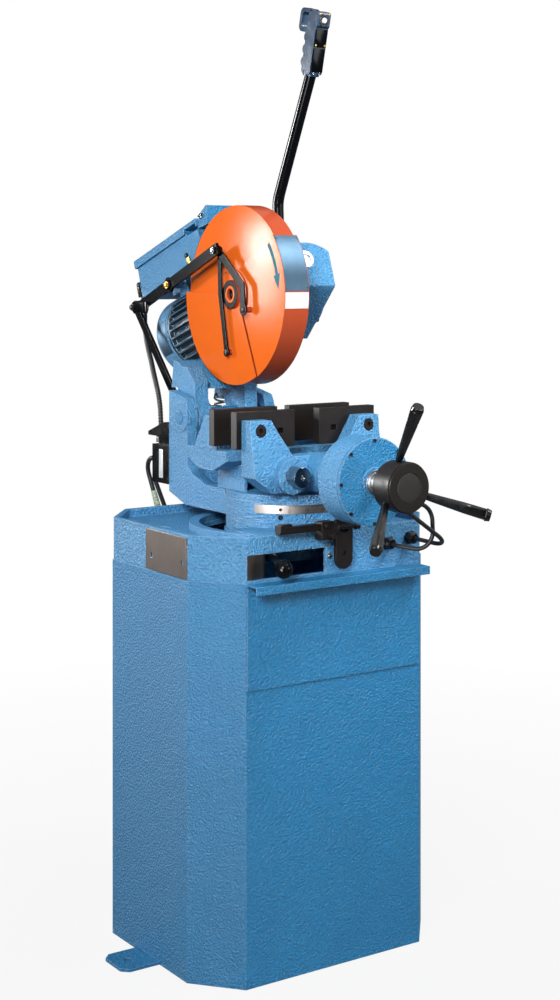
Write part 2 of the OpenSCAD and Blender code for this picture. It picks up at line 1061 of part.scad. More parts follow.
module control_lid() {
    color(C_stand)
        head_frame()
            union() {
                translate([-109, 118, 164.2])
                    cube([180, 291, 9]);
                translate([-109, 118, 155])
                    cube([180, 4, 10]);
                translate([-109, 405, 155])
                    cube([180, 4, 10]);
                for (x = [-109, 67])
                    translate([x, 172, 155])
                        cube([4, 236, 10]);
                yz(-104, 115)
                    polygon([[120, 150], [83, 147], [69, 186], [74, 188], [98, 181], [108, 170], [120, 172]]);
            }
}

module sheet_sector(x, t, r1, r0) {
    yz(x, t)
        translate([spindle_y, spindle_z])
            intersection() {
                difference() {
                    circle(r1);
                    circle(r0);
                }
                children();
            }
}

module front_wedge() {
    polygon([[-10, 44], [-15.6, 51.3], [-265.6, 190.3], [-500, 0], [-142, -288], [-35, -42.8], [-20, -30],
        [-12, 0]]);
}

module rear_wedge() {
    polygon([[-33.6, -42.2], [-140.6, -288], [0, -500], [500, -300], [500, 14], [44, -1], [10, -20]]);
}

module upper_wedge() {
    polygon([[0, 0], [400, -10], [500, 500], [-600, 500], [-420, 288]]);
}

module upper_guard() {
    r = guard_r - guard_t - 1;
    color(C_guard)
        difference() {
            union() {
                for (x = [-24, 24 - guard_t])
                    sheet_sector(x, guard_t, r, 10)
                        union() {
                            upper_wedge();
                            circle(62);
                        }
                sheet_sector(-24, 48, r, r - guard_t)
                    upper_wedge();
                rod_x(-40, spindle_y, spindle_z, hub_r, 17);
            }
            rod_x(-60, spindle_y, spindle_z, hub_r - 7, 60);
            rod_x(0, spindle_y, spindle_z, 42, 40);
            rod_x(-60, spindle_y + 40, spindle_z + 42, 6, 60);
        }
}

module front_guard() {
    color(C_guard)
        union() {
            sheet_sector(-29.7, 2.7, guard_r, hub_r + gap)
                front_wedge();
            sheet_sector(-29.7, 2.7, 42, hub_r + gap)
                circle(60);
            sheet_sector(-29.7, 59.7, guard_r, guard_r - guard_t)
                front_wedge();
            sheet_sector(30 - guard_t, guard_t, guard_r, 150)
                front_wedge();
            rod_x(link_x - 0.8, pin_front[0], pin_front[1], stud_r, 20.8);
        }
}

module rear_guard() {
    color(C_guard)
        union() {
            sheet_sector(-33, 2.7, guard_r, hub_r + gap)
                union() {
                    rear_wedge();
                    circle(52);
                }
            sheet_sector(-33, 63, guard_r, guard_r - guard_t)
                rear_wedge();
            sheet_sector(30 - guard_t, guard_t, guard_r, 150)
                rear_wedge();
            rod_x(link_in - 0.4, pin_rear[0], pin_rear[1], stud_r, 12.8);
        }
}

module guard_arm() {
    color(C_black)
        union() {
            yz(arm_x, 7)
                difference() {
                    union() {
                        bar2(arm_q, arm_p, arm_w);
                        strip(arm_p, arm_f + arm_w / 2 * unit(arm_f - arm_p), arm_w);
                        translate(arm_p)
                            circle(17);
                        translate(arm_q)
                            circle(15);
                    }
                    translate(arm_p)
                        circle(8 + turn_fit);
                }
            rod_x(prod_x - 4, arm_q[0], arm_q[1], 4.6, 14);
            rod_x(arm_x - 4, arm_f[0], arm_f[1], 8, 5);
        }
}

module strip(a, b, w) {
    v = b - a;
    translate(a)
        rotate(atan2(v[1], v[0]))
            translate([0, -w / 2])
                square([norm(v), w]);
}

module link_bar(x, bend, pin, w) {
    yz(x, link_t)
        difference() {
            union() {
                strip(arm_f, bend, w);
                strip(bend, pin, w);
                translate(bend)
                    circle(w / 2 + 0.5);
                translate(pin)
                    circle(w / 2 + 3);
                translate(arm_f)
                    circle(w / 2 + 2);
            }
            translate(pin)
                circle(stud_r + turn_fit);
            translate(arm_f)
                circle(4);
        }
}

module link_rear() {
    color(C_black)
        link_bar(link_in, [118, 1312], pin_rear, 13);
}

module link_front() {
    color(C_black)
        link_bar(link_x, [27, 1331], pin_front, 17);
}

module blade() {
    color(C_steel)
        yz(-blade_t / 2, blade_t)
            translate([spindle_y, spindle_z])
                difference() {
                    union() {
                        circle(blade_r - 5);
                        for (i = [0:tooth_count - 1])
                            rotate(360 * i / tooth_count)
                                polygon([[blade_r - 6, -6.5], [blade_r, 0], [blade_r - 6, 2]]);
                    }
                    circle(16);
                }
}

module spindle() {
    color(C_steel)
        union() {
            rod_x(-18, spindle_y, spindle_z, 16, 20);
            rod_x(blade_t / 2, spindle_y, spindle_z, 38, 13);
            rod_x(12, spindle_y, spindle_z, 17, 128);
            rod_x(-24, spindle_y, spindle_z, 10, 8);
            rod_x(106, spindle_y, spindle_z, 58, 12);
            rod_x(102, spindle_y, spindle_z, 30, 5);
            for (i = [0:39])
                rotate_x(9 * i)
                    translate([104, spindle_y + 38, spindle_z - 1.6])
                        cube([3, 20, 3.2]);
        }
}

module blade_flange() {
    color(C_steel)
        difference() {
            union() {
                rod_x(-10, spindle_y, spindle_z, 38, 10 - blade_t / 2);
                rod_x(-20, spindle_y, spindle_z, 22, 11, $fn = 6);
            }
            rod_x(-30, spindle_y, spindle_z, 16, 40);
        }
}

module spindle_bearings() {
    color(C_steel)
        for (x = [40, 125])
            difference() {
                rod_x(x, spindle_y, spindle_z, 32, 17);
                rod_x(x - 1, spindle_y, spindle_z, 17 + turn_fit, 20);
            }
}

module handle_tube() {
    u1 = unit(tube_bend - tube_foot);
    u2 = unit(tube_end - tube_bend);
    a1 = atan2(u1[1], u1[0]);
    turn = atan2(u2[1], u2[0]) - a1;
    cut = bend_r * tan(turn / 2);
    centre = tube_bend - cut * u1 + bend_r * [-u1[1], u1[0]];
    color(C_black)
        union() {
            tube_leg(tube_foot, tube_bend - (cut - bend_lap) * u1, tube_r);
            tube_leg(tube_bend + (cut - bend_lap) * u2, tube_end, tube_r);
            translate([grip_x, centre[0], centre[1]])
                rotate([90, 0, 90])
                    rotate([0, 0, a1 - 90])
                        rotate_extrude(angle = turn)
                            translate([bend_r, 0])
                                circle(tube_r + bend_swell);
        }
}

module tube_leg(a, b, r) {
    v = b - a;
    translate([grip_x, a[0], a[1]])
        rotate([atan2(-v[0], v[1]), 0, 0])
            cylinder(r = r, h = norm(v));
}

// Frame of the grip: y to the rear, z along the grip
module grip_frame() {
    translate([grip_x, grip_foot[0], grip_foot[1]])
        rotate([grip_lean, 0, 0])
            children();
}

module grip() {
    color(C_black)
        difference() {
            grip_frame()
                difference() {
                    union() {
                        yz(-16, 32)
                            union() {
                                translate([-1, 68])
                                    round_rect(32, 130, 9);
                                for (s = [28, 54, 80])
                                    translate([10, s])
                                        circle(11);
                                translate([-5, 118])
                                    round_rect(30, 34, 6);
                            }
                        yz(-8, 16)
                            difference() {
                                translate([32, 112])
                                    round_rect(50, 50, 12);
                                translate([32, 112])
                                    round_rect(34, 34, 8);
                            }
                        cylinder(r = 17, h = 10);
                    }
                    translate([-5.3, 12, 92])
                        cube([10.6, 12, 46]);
                    rod_x(-9, 20, 133, 3 + turn_fit, 18);
                    translate([0, -10, button_s])
                        rotate([90, 0, 0])
                            cylinder(r = button_r + turn_fit, h = 20);
                }
            tube_leg(tube_bend, tube_end, tube_r);
        }
}

module thumb_button() {
    color("#e9e9e6")
        grip_frame()
            translate([0, -14.5, button_s])
                rotate([90, 0, 0]) {
                    cylinder(r = button_r, h = 8);
                    translate([0, 0, 8])
                        cylinder(r1 = button_r, r2 = button_r - 1.5, h = 1.5);
                }
}

module trigger() {
    color(C_black)
        grip_frame()
            union() {
                yz(-5, 10)
                    polygon([[17, 135], [22, 135], [24, 124], [23, 110], [27, 97], [24, 95], [17, 105],
                        [16, 125]]);
                rod_x(-8, 20, 133, 3, 16);
            }
}

module lock_lever() {
    v = knob_at - lever_pivot;
    len = norm(v);
    color(C_steel)
        difference() {
            union() {
                translate([lever_pivot[0], lever_pivot[1], lever_z - 7])
                    cylinder(r = 15, h = 14);
                translate([lever_pivot[0], lever_pivot[1], lever_z])
                    rotate([0, 90, atan2(v[1], v[0])])
                        cylinder(r = 6, h = len - 4);
            }
            translate([lever_pivot[0], lever_pivot[1], lever_z - 20])
                cylinder(r = 8 + turn_fit, h = 40);
        }
}

module lock_knob() {
    v = knob_at - lever_pivot;
    color(C_black)
        difference() {
            translate([knob_at[0], knob_at[1], lever_z])
                sphere(18);
            translate([lever_pivot[0], lever_pivot[1], lever_z])
                rotate([0, 90, atan2(v[1], v[0])])
                    cylinder(r = 6, h = norm(v) - 4);
        }
}

function unit(v) = v / norm(v);
// A point of the smooth curve through four neighbours
function smooth(p0, p1, p2, p3, t) = 0.5 * (2 * p1 + (p2 - p0) * t + (2 * p0 - 5 * p1 + 4 * p2 - p3) * t * t
    + (3 * p1 - p0 - 3 * p2 + p3) * t * t * t);
function on_route(r, u) = let (n = len(r) - 1, i = min(floor(u), n - 1), t = u - i)
    smooth(r[max(i - 1, 0)], r[i], r[i + 1], r[min(i + 2, n)], t);

function directions(pts) = let (n = len(pts))
    [for (i = [0:n - 1]) unit(pts[min(i + 1, n - 1)] - pts[max(i - 1, 0)])];
function square_to(a, d) = unit(a - (a * d) * d);
// A side direction for each ring, carried along the line without twist
function sides_of(dirs) = let (n = len(dirs), first = unit(cross(dirs[0], [0.31, 0.9, 0.3])))
    [for (i = 0, a = first; i < n; a = i + 1 < n ? square_to(a, dirs[i + 1]) : a, i = i + 1) a];
// All points of the rings, ring after ring
function ring_points(pts, radii, sides) = let (dirs = directions(pts), across = sides_of(dirs))
    [for (i = [0:len(pts) - 1]) let (a = across[i], b = cross(dirs[i], a))
        for (k = [0:sides - 1])
            pts[i] + radii[i] * (cos(360 * k / sides) * a + sin(360 * k / sides) * b)];
// Two triangles for each side of each step between rings
function skin_faces(n, sides, start) = [for (i = [0:n - 2]) for (k = [0:sides - 1])
    let (m = (k + 1) % sides, p = start + i * sides, q = p + sides)
        for (f = [[p + k, q + k, q + m], [p + k, q + m, p + m]]) f];
function turned(faces) = [for (f = faces) [f[2], f[1], f[0]]];

// A swept skin of rings: point list, radius of each ring, sides
module sweep(pts, radii, sides) {
    n = len(pts);
    near_end = [for (k = [0:sides - 1]) k];
    far_end = [for (k = [0:sides - 1]) n * sides - 1 - k];
    polyhedron(ring_points(pts, radii, sides), concat(skin_faces(n, sides, 0), [near_end, far_end]),
        convexity = 10);
}

// The arc that rounds one corner of a route
function bend_arc(a, p, b, r) = let (u = unit(p - a), v = unit(b - p), turn = acos(u * v),
    w = square_to(v, u), foot = p - r * tan(turn / 2) * u)
    [for (i = [0:bend_steps]) let (t = turn * i / bend_steps) foot + r * sin(t) * u + r * (1 - cos(t)) * w];
// A route with each corner rounded
function rounded(c, r) = concat([c[0]],
    [for (i = [1:len(c) - 2]) for (p = bend_arc(c[i - 1], c[i], c[i + 1], r)) p], [c[len(c) - 1]]);

module plain_cord(corners, bend, r, sides) {
    pts = rounded(corners, bend);
    sweep(pts, [for (p = pts) r], sides);
}

// A hose with a bore: outer skin, inner skin and two ring-shaped ends
module bored_sweep(pts, radii, bore, sides) {
    n = len(pts);
    inner = n * sides;
    last = (n - 1) * sides;
    near_end = [for (k = [0:sides - 1]) let (m = (k + 1) % sides)
        for (f = [[k, m, inner + m], [k, inner + m, inner + k]]) f];
    far_end = [for (k = [0:sides - 1]) let (m = (k + 1) % sides)
        for (f = [[last + m, last + k, inner + last + k], [last + m, inner + last + k, inner + last + m]]) f];
    points = concat(ring_points(pts, radii, sides), ring_points(pts, [for (r = radii) bore], sides));
    faces = concat(skin_faces(n, sides, 0), turned(skin_faces(n, sides, inner)), near_end, far_end);
    polyhedron(points, faces, convexity = 10);
}

module conduit() {
    n = len(conduit_route) - 1;
    steps = 2 * conduit_ribs;
    pts = [for (i = [0:steps]) on_route(conduit_route, n * i / steps)];
    color(C_black)
        bored_sweep(pts, [for (i = [0:steps]) i % 2 == 0 ? conduit_r - 0.9 : conduit_r], conduit_r - 2.2, 8);
}

module vise_hoses() {
    color(C_black) {
        plain_cord(hose_a, hose_bend, hose_r, 8);
        plain_cord(hose_b, hose_bend, hose_r, 8);
    }
}

module rear_cables() {
    color(C_black) {
        plain_cord(cable_a, cable_bend, cable_r, 8);
        plain_cord(cable_b, cable_bend, cable_r, 8);
    }
}

spring_len = norm(spring_top - spring_low) - 24;
coil_steps = 14;
// The spring's line: a hook through the lower lug, the coils, a hook through the upper lug
spring_line = concat(
    [[8, 0, -4], [0, 0, -4], [-7.8, 0, -3.4], [-9.6, 0, 2], [-4, 0, 8], [6, 0, 10.6]],
    [for (i = [0:spring_coils * coil_steps]) [spring_r * cos(360 * i / coil_steps),
        spring_r * sin(360 * i / coil_steps), 12 + spring_len * i / (spring_coils * coil_steps)]],
    [[6, 0, spring_len + 13.4], [-4, 0, spring_len + 16], [-9.6, 0, spring_len + 22],
        [-7.8, 0, spring_len + 27.4], [0, 0, spring_len + 28], [8, 0, spring_len + 28]]);
spring_count = len(spring_line);
// Least distance between points of the line that are at least half a turn apart, less the wire
spring_self_gap = min([for (i = [0:spring_count - 1]) for (j = [i + 7:1:spring_count - 1])
    norm(spring_line[i] - spring_line[j])]) - 2 * wire_r;
echo(spring_self_gap_mm = spring_self_gap);

// Return spring, wound between two hooks
module return_spring() {
    v = unit(spring_top - spring_low);
    color(C_steel)
        translate(spring_low)
            rotate([atan2(-v[1], v[2]), 0, 0])
                sweep(spring_line, [for (p = spring_line) wire_r], 6);
}

cabinet();
floor_tabs();
tray();
chip_collar();
blank_plate();
pedestal();
vise_bed();
rear_jaws();
rear_screws();
guide_rods();
stop_bar();
stop_block();
stop_plate();
hose_glands();
drawer();
vise_carriage();
front_jaws();
front_screws();
vise_drum();
drum_cover();
drum_screws();
vise_screw();
wheel_hub();
wheel_arms();
lock_lever();
lock_knob();
trunnion();
scale_band();
hinge_pin();
junction_box();
valve_hood();
push_rod();
head_casting();
gear_cover();
front_plug();
motor_body();
fan_cover();
fan();
rotor();
terminal_box();
control_box();
control_lid();
upper_guard();
front_guard();
rear_guard();
guard_arm();
link_rear();
link_front();
blade();
spindle();
blade_flange();
spindle_bearings();
handle_tube();
grip();
trigger();
thumb_button();
conduit();
vise_hoses();
rear_cables();
return_spring();
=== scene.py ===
"""Looks of a floor-standing cold saw: finishes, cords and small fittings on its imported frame."""

import math

import bmesh
import bpy
from bpy.props import FloatProperty, FloatVectorProperty, IntProperty, PointerProperty
from mathutils import Matrix, Vector


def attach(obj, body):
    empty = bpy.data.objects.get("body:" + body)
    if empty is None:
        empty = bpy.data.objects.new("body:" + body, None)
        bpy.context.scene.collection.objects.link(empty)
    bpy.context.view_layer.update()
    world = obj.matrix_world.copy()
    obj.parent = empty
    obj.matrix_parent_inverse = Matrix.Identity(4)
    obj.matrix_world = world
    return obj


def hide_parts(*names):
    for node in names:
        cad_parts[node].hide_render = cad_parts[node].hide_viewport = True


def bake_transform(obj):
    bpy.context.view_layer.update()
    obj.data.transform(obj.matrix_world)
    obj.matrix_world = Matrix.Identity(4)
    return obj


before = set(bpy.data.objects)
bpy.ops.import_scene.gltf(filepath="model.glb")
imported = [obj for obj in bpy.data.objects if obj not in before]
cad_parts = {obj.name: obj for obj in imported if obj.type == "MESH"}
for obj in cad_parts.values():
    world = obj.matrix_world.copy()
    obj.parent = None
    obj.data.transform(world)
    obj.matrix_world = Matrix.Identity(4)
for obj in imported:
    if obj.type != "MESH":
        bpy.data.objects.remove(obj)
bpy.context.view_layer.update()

bl_info = {
    "name": "Cold Saw Looks",
    "version": (1, 0, 0),
    "blender": (4, 5, 0),
    "location": "3D View > Sidebar > Cold Saw",
    "description": "Finishes, cords and small fittings of a cold saw on its packed frame",
    "category": "Object",
}

# Lengths are in millimetres in the saw's own frame: X right, Y to the rear, Z up.
MM = 0.001

# Driving places, the same as in the part's source
SPINDLE = Vector((0, 85, 1311))
HEAD_ORIGIN = Vector((84, 85, 1350))
HEAD_SLOPE = -19
GRIP_ORIGIN = Vector((86, -31, 1768))
GRIP_LEAN = 14
TURN_Y = -70
TURN_R = 125
SCREW_Z = 960
HUB_FRONT_Y = -472
ARM_PIVOT = (313, 1329)
ARM_REAR = (448, 1277)
ARM_FRONT = (121, 1404)
PIN_REAR = (93, 1189)
PIN_FRONT = (21, 1280)
MOTOR_R = 96
MOTOR_DROP = -22
GUARD_R = 191
GUARD_FACE_X = -29.7
ARM_FACE_X = -58
ELBOW = Vector((-96, 415, 112))

# Faces that fittings sit on, and places of fittings on them
HUB_X = -40
RIM_HALF = 28.5
BOX_WALL_X = -104
ROD_CLIP_X = -70
JUNCTION_FACE_X = -112
GEAR_COVER_X = 159
GEAR_SCREW_RING = 64
ROD_CLIP = (415, 1278)
JUNCTION_STRIP = (250, 944)
TRAY_BOLT = (-14, -237.2, 803)
STOP_BOLT = (12, -252, 856)
TURN_LOCK_ANGLE = 229.8
TURN_LOCK_Z = 874.8
GRIP_FACE_Y = -17

# Places on the electrical box's left wall, up and along the head, and the height of its lid
BOX_LATCH = (91, 178)
BOX_BOLT = (110, 185)
LID_CATCH = (171.8, 99.5)
LID_TOP = 173.2

# The angle scale on the turntable: its band, the degrees round the drum where nought stands, and the way
# along the band to the next mark, a twentieth wider than a true degree
SCALE_LOW = 882
SCALE_TOP = 899
SCALE_FACE = TURN_R + 1.4
SCALE_ZERO = 238
SCALE_DEGREE = SCALE_FACE * math.pi / 180 * 1.05
SCALE_LAST = 55

# The photograph's viewpoint in metres and degrees, with its lens in millimetres
VIEW_PLACE = (-1.958, -2.950, 1.369)
VIEW_TURN = -33.97
VIEW_LENS = 61.38
VIEW_SENSOR = 36
VIEW_SHIFT = -0.2332

# How far the guard's face seems to fall from hub to rim, the width of the slow drift of tone over a panel,
# and what paint pales to along its edges, partly as wear and partly as painted highlight
GUARD_CROWN = 13.5
TONE_DRIFT = 150
RUBBED_AND_HIGHLIT_BLUE = "#b4d2ea"
RUBBED_AND_HIGHLIT_ORANGE = "#f5a56b"

HEAD = Matrix.Translation(HEAD_ORIGIN) @ Matrix.Rotation(math.radians(HEAD_SLOPE), 4, "X")
GRIP = Matrix.Translation(GRIP_ORIGIN) @ Matrix.Rotation(math.radians(GRIP_LEAN), 4, "X")


def linear(code):
    """Turns an sRGB hex value into the linear colour that a shader takes."""
    channels = [int(code[i : i + 2], 16) / 255 for i in (1, 3, 5)]
    return tuple(c / 12.92 if c <= 0.04045 else ((c + 0.055) / 1.055) ** 2.4 for c in channels)


def colour(name, description, code):
    """A colour that the user may change, given as sRGB hex."""
    return FloatVectorProperty(
        name=name, description=description, subtype="COLOR", size=3, min=0, max=1, default=linear(code)
    )


def length(name, description, value, low, high):
    """A size in millimetres that the user may change."""
    return FloatProperty(name=name, description=description, default=value, min=low, max=high, unit="NONE")


class ColdSawColours(bpy.types.PropertyGroup):
    """Colours of the saw's finishes."""

    blue: colour("Blue enamel", "Paint of the stand and the boxes", "#1d7db2")
    # The castings' blue is set paler than the stand's: painted sheen for the glints on their rough skin.
    cast: colour("Cast enamel", "Paint of the castings, which their rough skin makes paler", "#4a92c4")
    orange: colour("Orange enamel", "Paint of the blade guard's faces", "#e2661d")
    # The motor's blue is set far darker than the stand's, partly the motor's own darker paint and partly
    # painted shade.
    motor: colour("Motor enamel", "Darker paint of the finned motor body", "#16354a")
    band: colour("Guard band", "Darker coat on the band round the guard", "#a8472b")
    oxide: colour("Black oxide", "Blackened steel of jaws, stop and handwheel hub", "#171312")
    gloss_black: colour("Black enamel", "Gloss paint of the handle, arms and links", "#07090d")
    plastic: colour("Black plastic", "Moulded knobs, levers and boxes", "#0c0d0f")
    grip: colour("Grip plastic", "Blue-black moulding of the grip", "#0f3450")
    brass: colour("Brass", "Pivot bolt, latch and cover screws", "#c99a45")
    steel: colour("Bare steel", "Ground and turned steel", "#b9bcc0")
    rubber: colour("Black rubber", "Hoses and cables", "#121417")
    white: colour("White plastic", "Button and bare white plates", "#cfd3d5")
    arrow: colour("Arrow", "Plain arrow for the blade's direction", "#146a78")


class ColdSawSizes(bpy.types.PropertyGroup):
    """Sizes of the parts that are made here, in millimetres."""

    peel: length("Orange peel", "Width of a bump in the sheet's paint", 4.0, 1, 12)
    cast_peel: length("Cast skin", "Width of a bump in the castings' paint", 4.6, 2, 15)
    edge: length("Edge rounding", "Radius of paint and steel edges", 2.2, 0.2, 6)
    rib: length("Conduit rib", "Height of a rib of the conduit", 1.3, 0.3, 2)
    rib_count: IntProperty(name="Conduit ribs", description="Number of ribs", default=64, min=20, max=120)
    conduit_r: length("Conduit radius", "Radius over the ribs", 6, 4, 8)
    hose_r: length("Hose radius", "Radius of a vise hose", 4.3, 3, 6)
    cable_r: length("Cable radius", "Radius of a rear cable", 5, 3, 7)
    wire_r: length("Spring wire", "Radius of the return spring's wire", 2.4, 1, 4)
    tick: length("Scale tick", "Width of a tick on the angle scale", 0.7, 0.3, 2)


def wire(tree, node, inputs):
    """Sets a node's inputs: each is a plain value, a socket, or a node that gives its first live output."""
    for name, value in inputs.items():
        if isinstance(value, bpy.types.Node):
            value = next(socket for socket in value.outputs if socket.enabled)
        if isinstance(value, bpy.types.NodeSocket):
            tree.links.new(value, node.inputs[name])
        else:
            node.inputs[name].default_value = value


def add(tree, kind, inputs=None, **settings):
    """Adds a shader node with its settings and its inputs."""
    made = tree.nodes.new("ShaderNode" + kind)
    for name, value in settings.items():
        setattr(made, name, value)
    wire(tree, made, inputs or {})
    return made


def blank(name, **sockets):
    """A named material with its shader's constant sockets set; gives material, tree and shader."""
    made = bpy.data.materials.new(name)
    made.use_nodes = True
    shader = made.node_tree.nodes["Principled BSDF"]
    for socket, value in sockets.items():
        shader.inputs[socket.replace("_", " ")].default_value = value
    return made, made.node_tree, shader


def rgba(value, gain=1.0):
    """A colour with its alpha, made lighter or darker by a gain."""
    return tuple(min(1.0, c * gain) for c in value) + (1.0,)


def per_mm(size):
    """The pattern scale that gives a feature of that many millimetres."""
    return 1 / (size * MM)


def worn_edge(tree, radius):
    """A rounded normal and a mask that is 1 along sharp edges, standing and hollow alike, where paint is made
    paler partly as wear and partly as painted highlight.
    """
    rounded = add(tree, "Bevel", {"Radius": radius * MM}, samples=6)
    flat = add(tree, "NewGeometry").outputs["Normal"]
    same = add(tree, "VectorMath", {0: rounded, 1: flat}, operation="DOT_PRODUCT")
    mask = add(
        tree,
        "MapRange",
        {"Value": same, "From Min": 0.99, "From Max": 0.80, "To Min": 0.0, "To Max": 1.0},
    )
    return rounded, mask


def lay_surface(tree, shader, tone, edge, rub, pale, sheen, relief):
    """Lays a finish: a tone with edges made paler, partly as wear and partly as painted highlight, a
    roughness that follows a pattern, and a relief.
    A sheen is a pattern and the roughness at its lows and its highs; a relief is a height, its depth in
    millimetres and its strength."""
    rounded, rubbed_and_highlit = worn_edge(tree, edge)
    # Sharp edges, standing and hollow alike, are mixed towards a paler colour: partly wear and partly painted
    # highlight.
    edge_wear_and_highlight = add(tree, "Math", {0: rubbed_and_highlit, 1: rub}, operation="MULTIPLY")
    skin = add(tree, "Mix", {0: edge_wear_and_highlight, 6: tone, 7: pale}, data_type="RGBA")
    pattern, at_lows, at_highs = sheen
    gloss = add(
        tree,
        "MapRange",
        {"Value": pattern, "From Min": 0.3, "From Max": 0.7, "To Min": at_lows, "To Max": at_highs},
    )
    height, depth, strength = relief
    bump = add(
        tree,
        "Bump",
        {"Strength": strength, "Distance": depth * MM, "Height": height, "Normal": rounded},
    )
    wire(tree, shader, {"Base Color": skin, "Roughness": gloss, "Normal": bump})


def hammered_enamel(name, paint, peel, depth, edge, rub):
    """Enamel sprayed thick over steel or iron: an orange-peel skin whose bumps catch the light, its colour
    painted lighter on the bumps and darker in the hollows as painted highlight and painted shade, a slow
    drift of tone over each panel, edges made paler partly as wear and partly as painted highlight, and a
    satin gloss broken by the bumps."""
    made, tree, shader = blank(name, IOR=1.45)
    place = add(tree, "TexCoord").outputs["Object"]
    # Real orange peel is one to two millimetres wide; it is drawn about three times as wide, to show.
    bumps, drift = (
        add(tree, "TexNoise", {"Vector": place, "Scale": per_mm(size), "Detail": detail, "Roughness": 0.6})
        for size, detail in ((peel, 2), (TONE_DRIFT, 3))
    )
    # The peel's colour follows its relief: painted highlight on the tops of the bumps and painted shade in
    # the hollows between them.
    peel_pattern = add(tree, "MapRange", {"Value": bumps, "From Min": 0.34, "From Max": 0.66})
    tone = add(tree, "Mix", {0: peel_pattern, 6: rgba(paint, 0.84), 7: rgba(paint, 1.18)}, data_type="RGBA")
    shift = add(tree, "MapRange", {"Value": drift, "From Min": 0.3, "From Max": 0.7, "To Max": 0.2})
    deep = add(tree, "Mix", {0: shift, 6: tone, 7: rgba(paint, 0.6)}, data_type="RGBA")
    pale = rgba(linear(RUBBED_AND_HIGHLIT_BLUE))
    lay_surface(tree, shader, deep, edge, rub, pale, sheen=(bumps, 0.44, 0.28), relief=(bumps, depth, 1.0))
    return made


def guard_enamel(name, paint, band, edge):
    """Enamel sprayed over a shallow steel pressing: a satin gloss that gathers a broad soft highlight on the
    crowned face, a fine orange peel at its border, and a darker orange on every surface that doesn't face
    sideways, the band round the rim."""
    made, tree, shader = blank(name, IOR=1.28, Specular_IOR_Level=0.14)
    coordinates = add(tree, "TexCoord")
    place = coordinates.outputs["Object"]
    across = add(tree, "SeparateXYZ", {0: coordinates.outputs["Normal"]})
    facing = add(tree, "Math", {0: across}, operation="ABSOLUTE")
    on_face = add(tree, "MapRange", {"Value": facing, "From Min": 0.35, "From Max": 0.65})
    peel, drift = (
        add(
            tree,
            "TexNoise",
            {"Vector": place, "Scale": per_mm(size), "Detail": detail, "Roughness": roughness},
        )
        for size, detail, roughness in ((3.4, 2, 0.5), (60, 3, 0.6))
    )
    # Surfaces that don't face sideways, the band round the rim, take the darker band colour instead of the
    # paint.
    coat = add(tree, "Mix", {0: on_face, 6: rgba(band), 7: rgba(paint)}, data_type="RGBA")
    shift = add(tree, "MapRange", {"Value": drift, "From Min": 0.3, "From Max": 0.7, "To Max": 0.12})
    toned = add(tree, "Mix", {0: shift, 6: coat, 7: rgba(band, 1.1)}, data_type="RGBA")
    # The face falls away from its hub with the square of the distance, in metres throughout.
    hub = add(tree, "VectorMath", {0: place, 1: tuple(SPINDLE * MM)}, operation="SUBTRACT")
    flat = add(tree, "VectorMath", {0: hub, 1: (0, 1, 1)}, operation="MULTIPLY")
    square = add(tree, "VectorMath", {0: flat, 1: flat}, operation="DOT_PRODUCT")
    fall = -GUARD_CROWN / (GUARD_R**2 * MM)
    crown = add(tree, "Math", {0: square, 1: fall}, operation="MULTIPLY")
    peel_pattern = add(tree, "Math", {0: peel, 1: 0.25 * MM}, operation="MULTIPLY")
    height = add(tree, "Math", {0: crown, 1: peel_pattern}, operation="ADD")
    pale = rgba(linear(RUBBED_AND_HIGHLIT_ORANGE))
    lay_surface(tree, shader, toned, edge, 0.2, pale, sheen=(peel, 0.21, 0.16), relief=(height, 1 / MM, 1.0))
    return made


def gloss_enamel(name, paint, edge, roughness, speck):
    """Enamel or ink flowed out smooth over sheet or bar: an even gloss with a faint long wave, a little dust
    and paler edges."""
    made, tree, shader = blank(name, IOR=1.35, Specular_IOR_Level=0.2)
    place = add(tree, "TexCoord").outputs["Object"]
    wave, dust = (
        add(
            tree,
            "TexNoise",
            {"Vector": place, "Scale": per_mm(size), "Detail": detail, "Roughness": rough},
        )
        for size, detail, rough in ((16, 2, 0.5), (3, 4, 0.7))
    )
    specks = add(tree, "MapRange", {"Value": dust, "From Min": 0.42, "From Max": 0.72, "To Max": speck})
    tone = add(tree, "Mix", {0: specks, 6: rgba(paint), 7: rgba(paint, 0.7)}, data_type="RGBA")
    sheen = (dust, roughness, roughness + 0.05)
    lay_surface(tree, shader, tone, edge, 0.25, rgba(paint, 1.9), sheen, relief=(wave, 0.3, 0.12))
    return made


def blackened_steel(name, tint, edge):
    """Milled steel turned black in an oxide bath: a warm dark skin with faint cutter lines, oily mottling and
    edges paled towards grey, partly by wear and partly as painted highlight."""
    made, tree, shader = blank(name, Specular_IOR_Level=0.19)
    place = add(tree, "TexCoord").outputs["Object"]
    # Cutter lines half a millimetre apart are drawn far coarser and broken up, so that they show.
    lines = add(
        tree,
        "TexWave",
        {"Vector": place, "Scale": per_mm(40), "Distortion": 6, "Detail": 3},
        wave_type="BANDS",
        bands_direction="Z",
    ).outputs["Fac"]
    oil = add(tree, "TexNoise", {"Vector": place, "Scale": per_mm(22), "Detail": 5, "Roughness": 0.6})
    mottle = add(tree, "Mix", {0: oil, 6: rgba(tint, 0.6), 7: rgba(tint, 1.35)}, data_type="RGBA")
    sheen = (oil, 0.52, 0.36)
    lay_surface(tree, shader, mottle, edge, 0.5, rgba(tint, 3.2), sheen, relief=(lines, 0.2, 0.08))
    return made


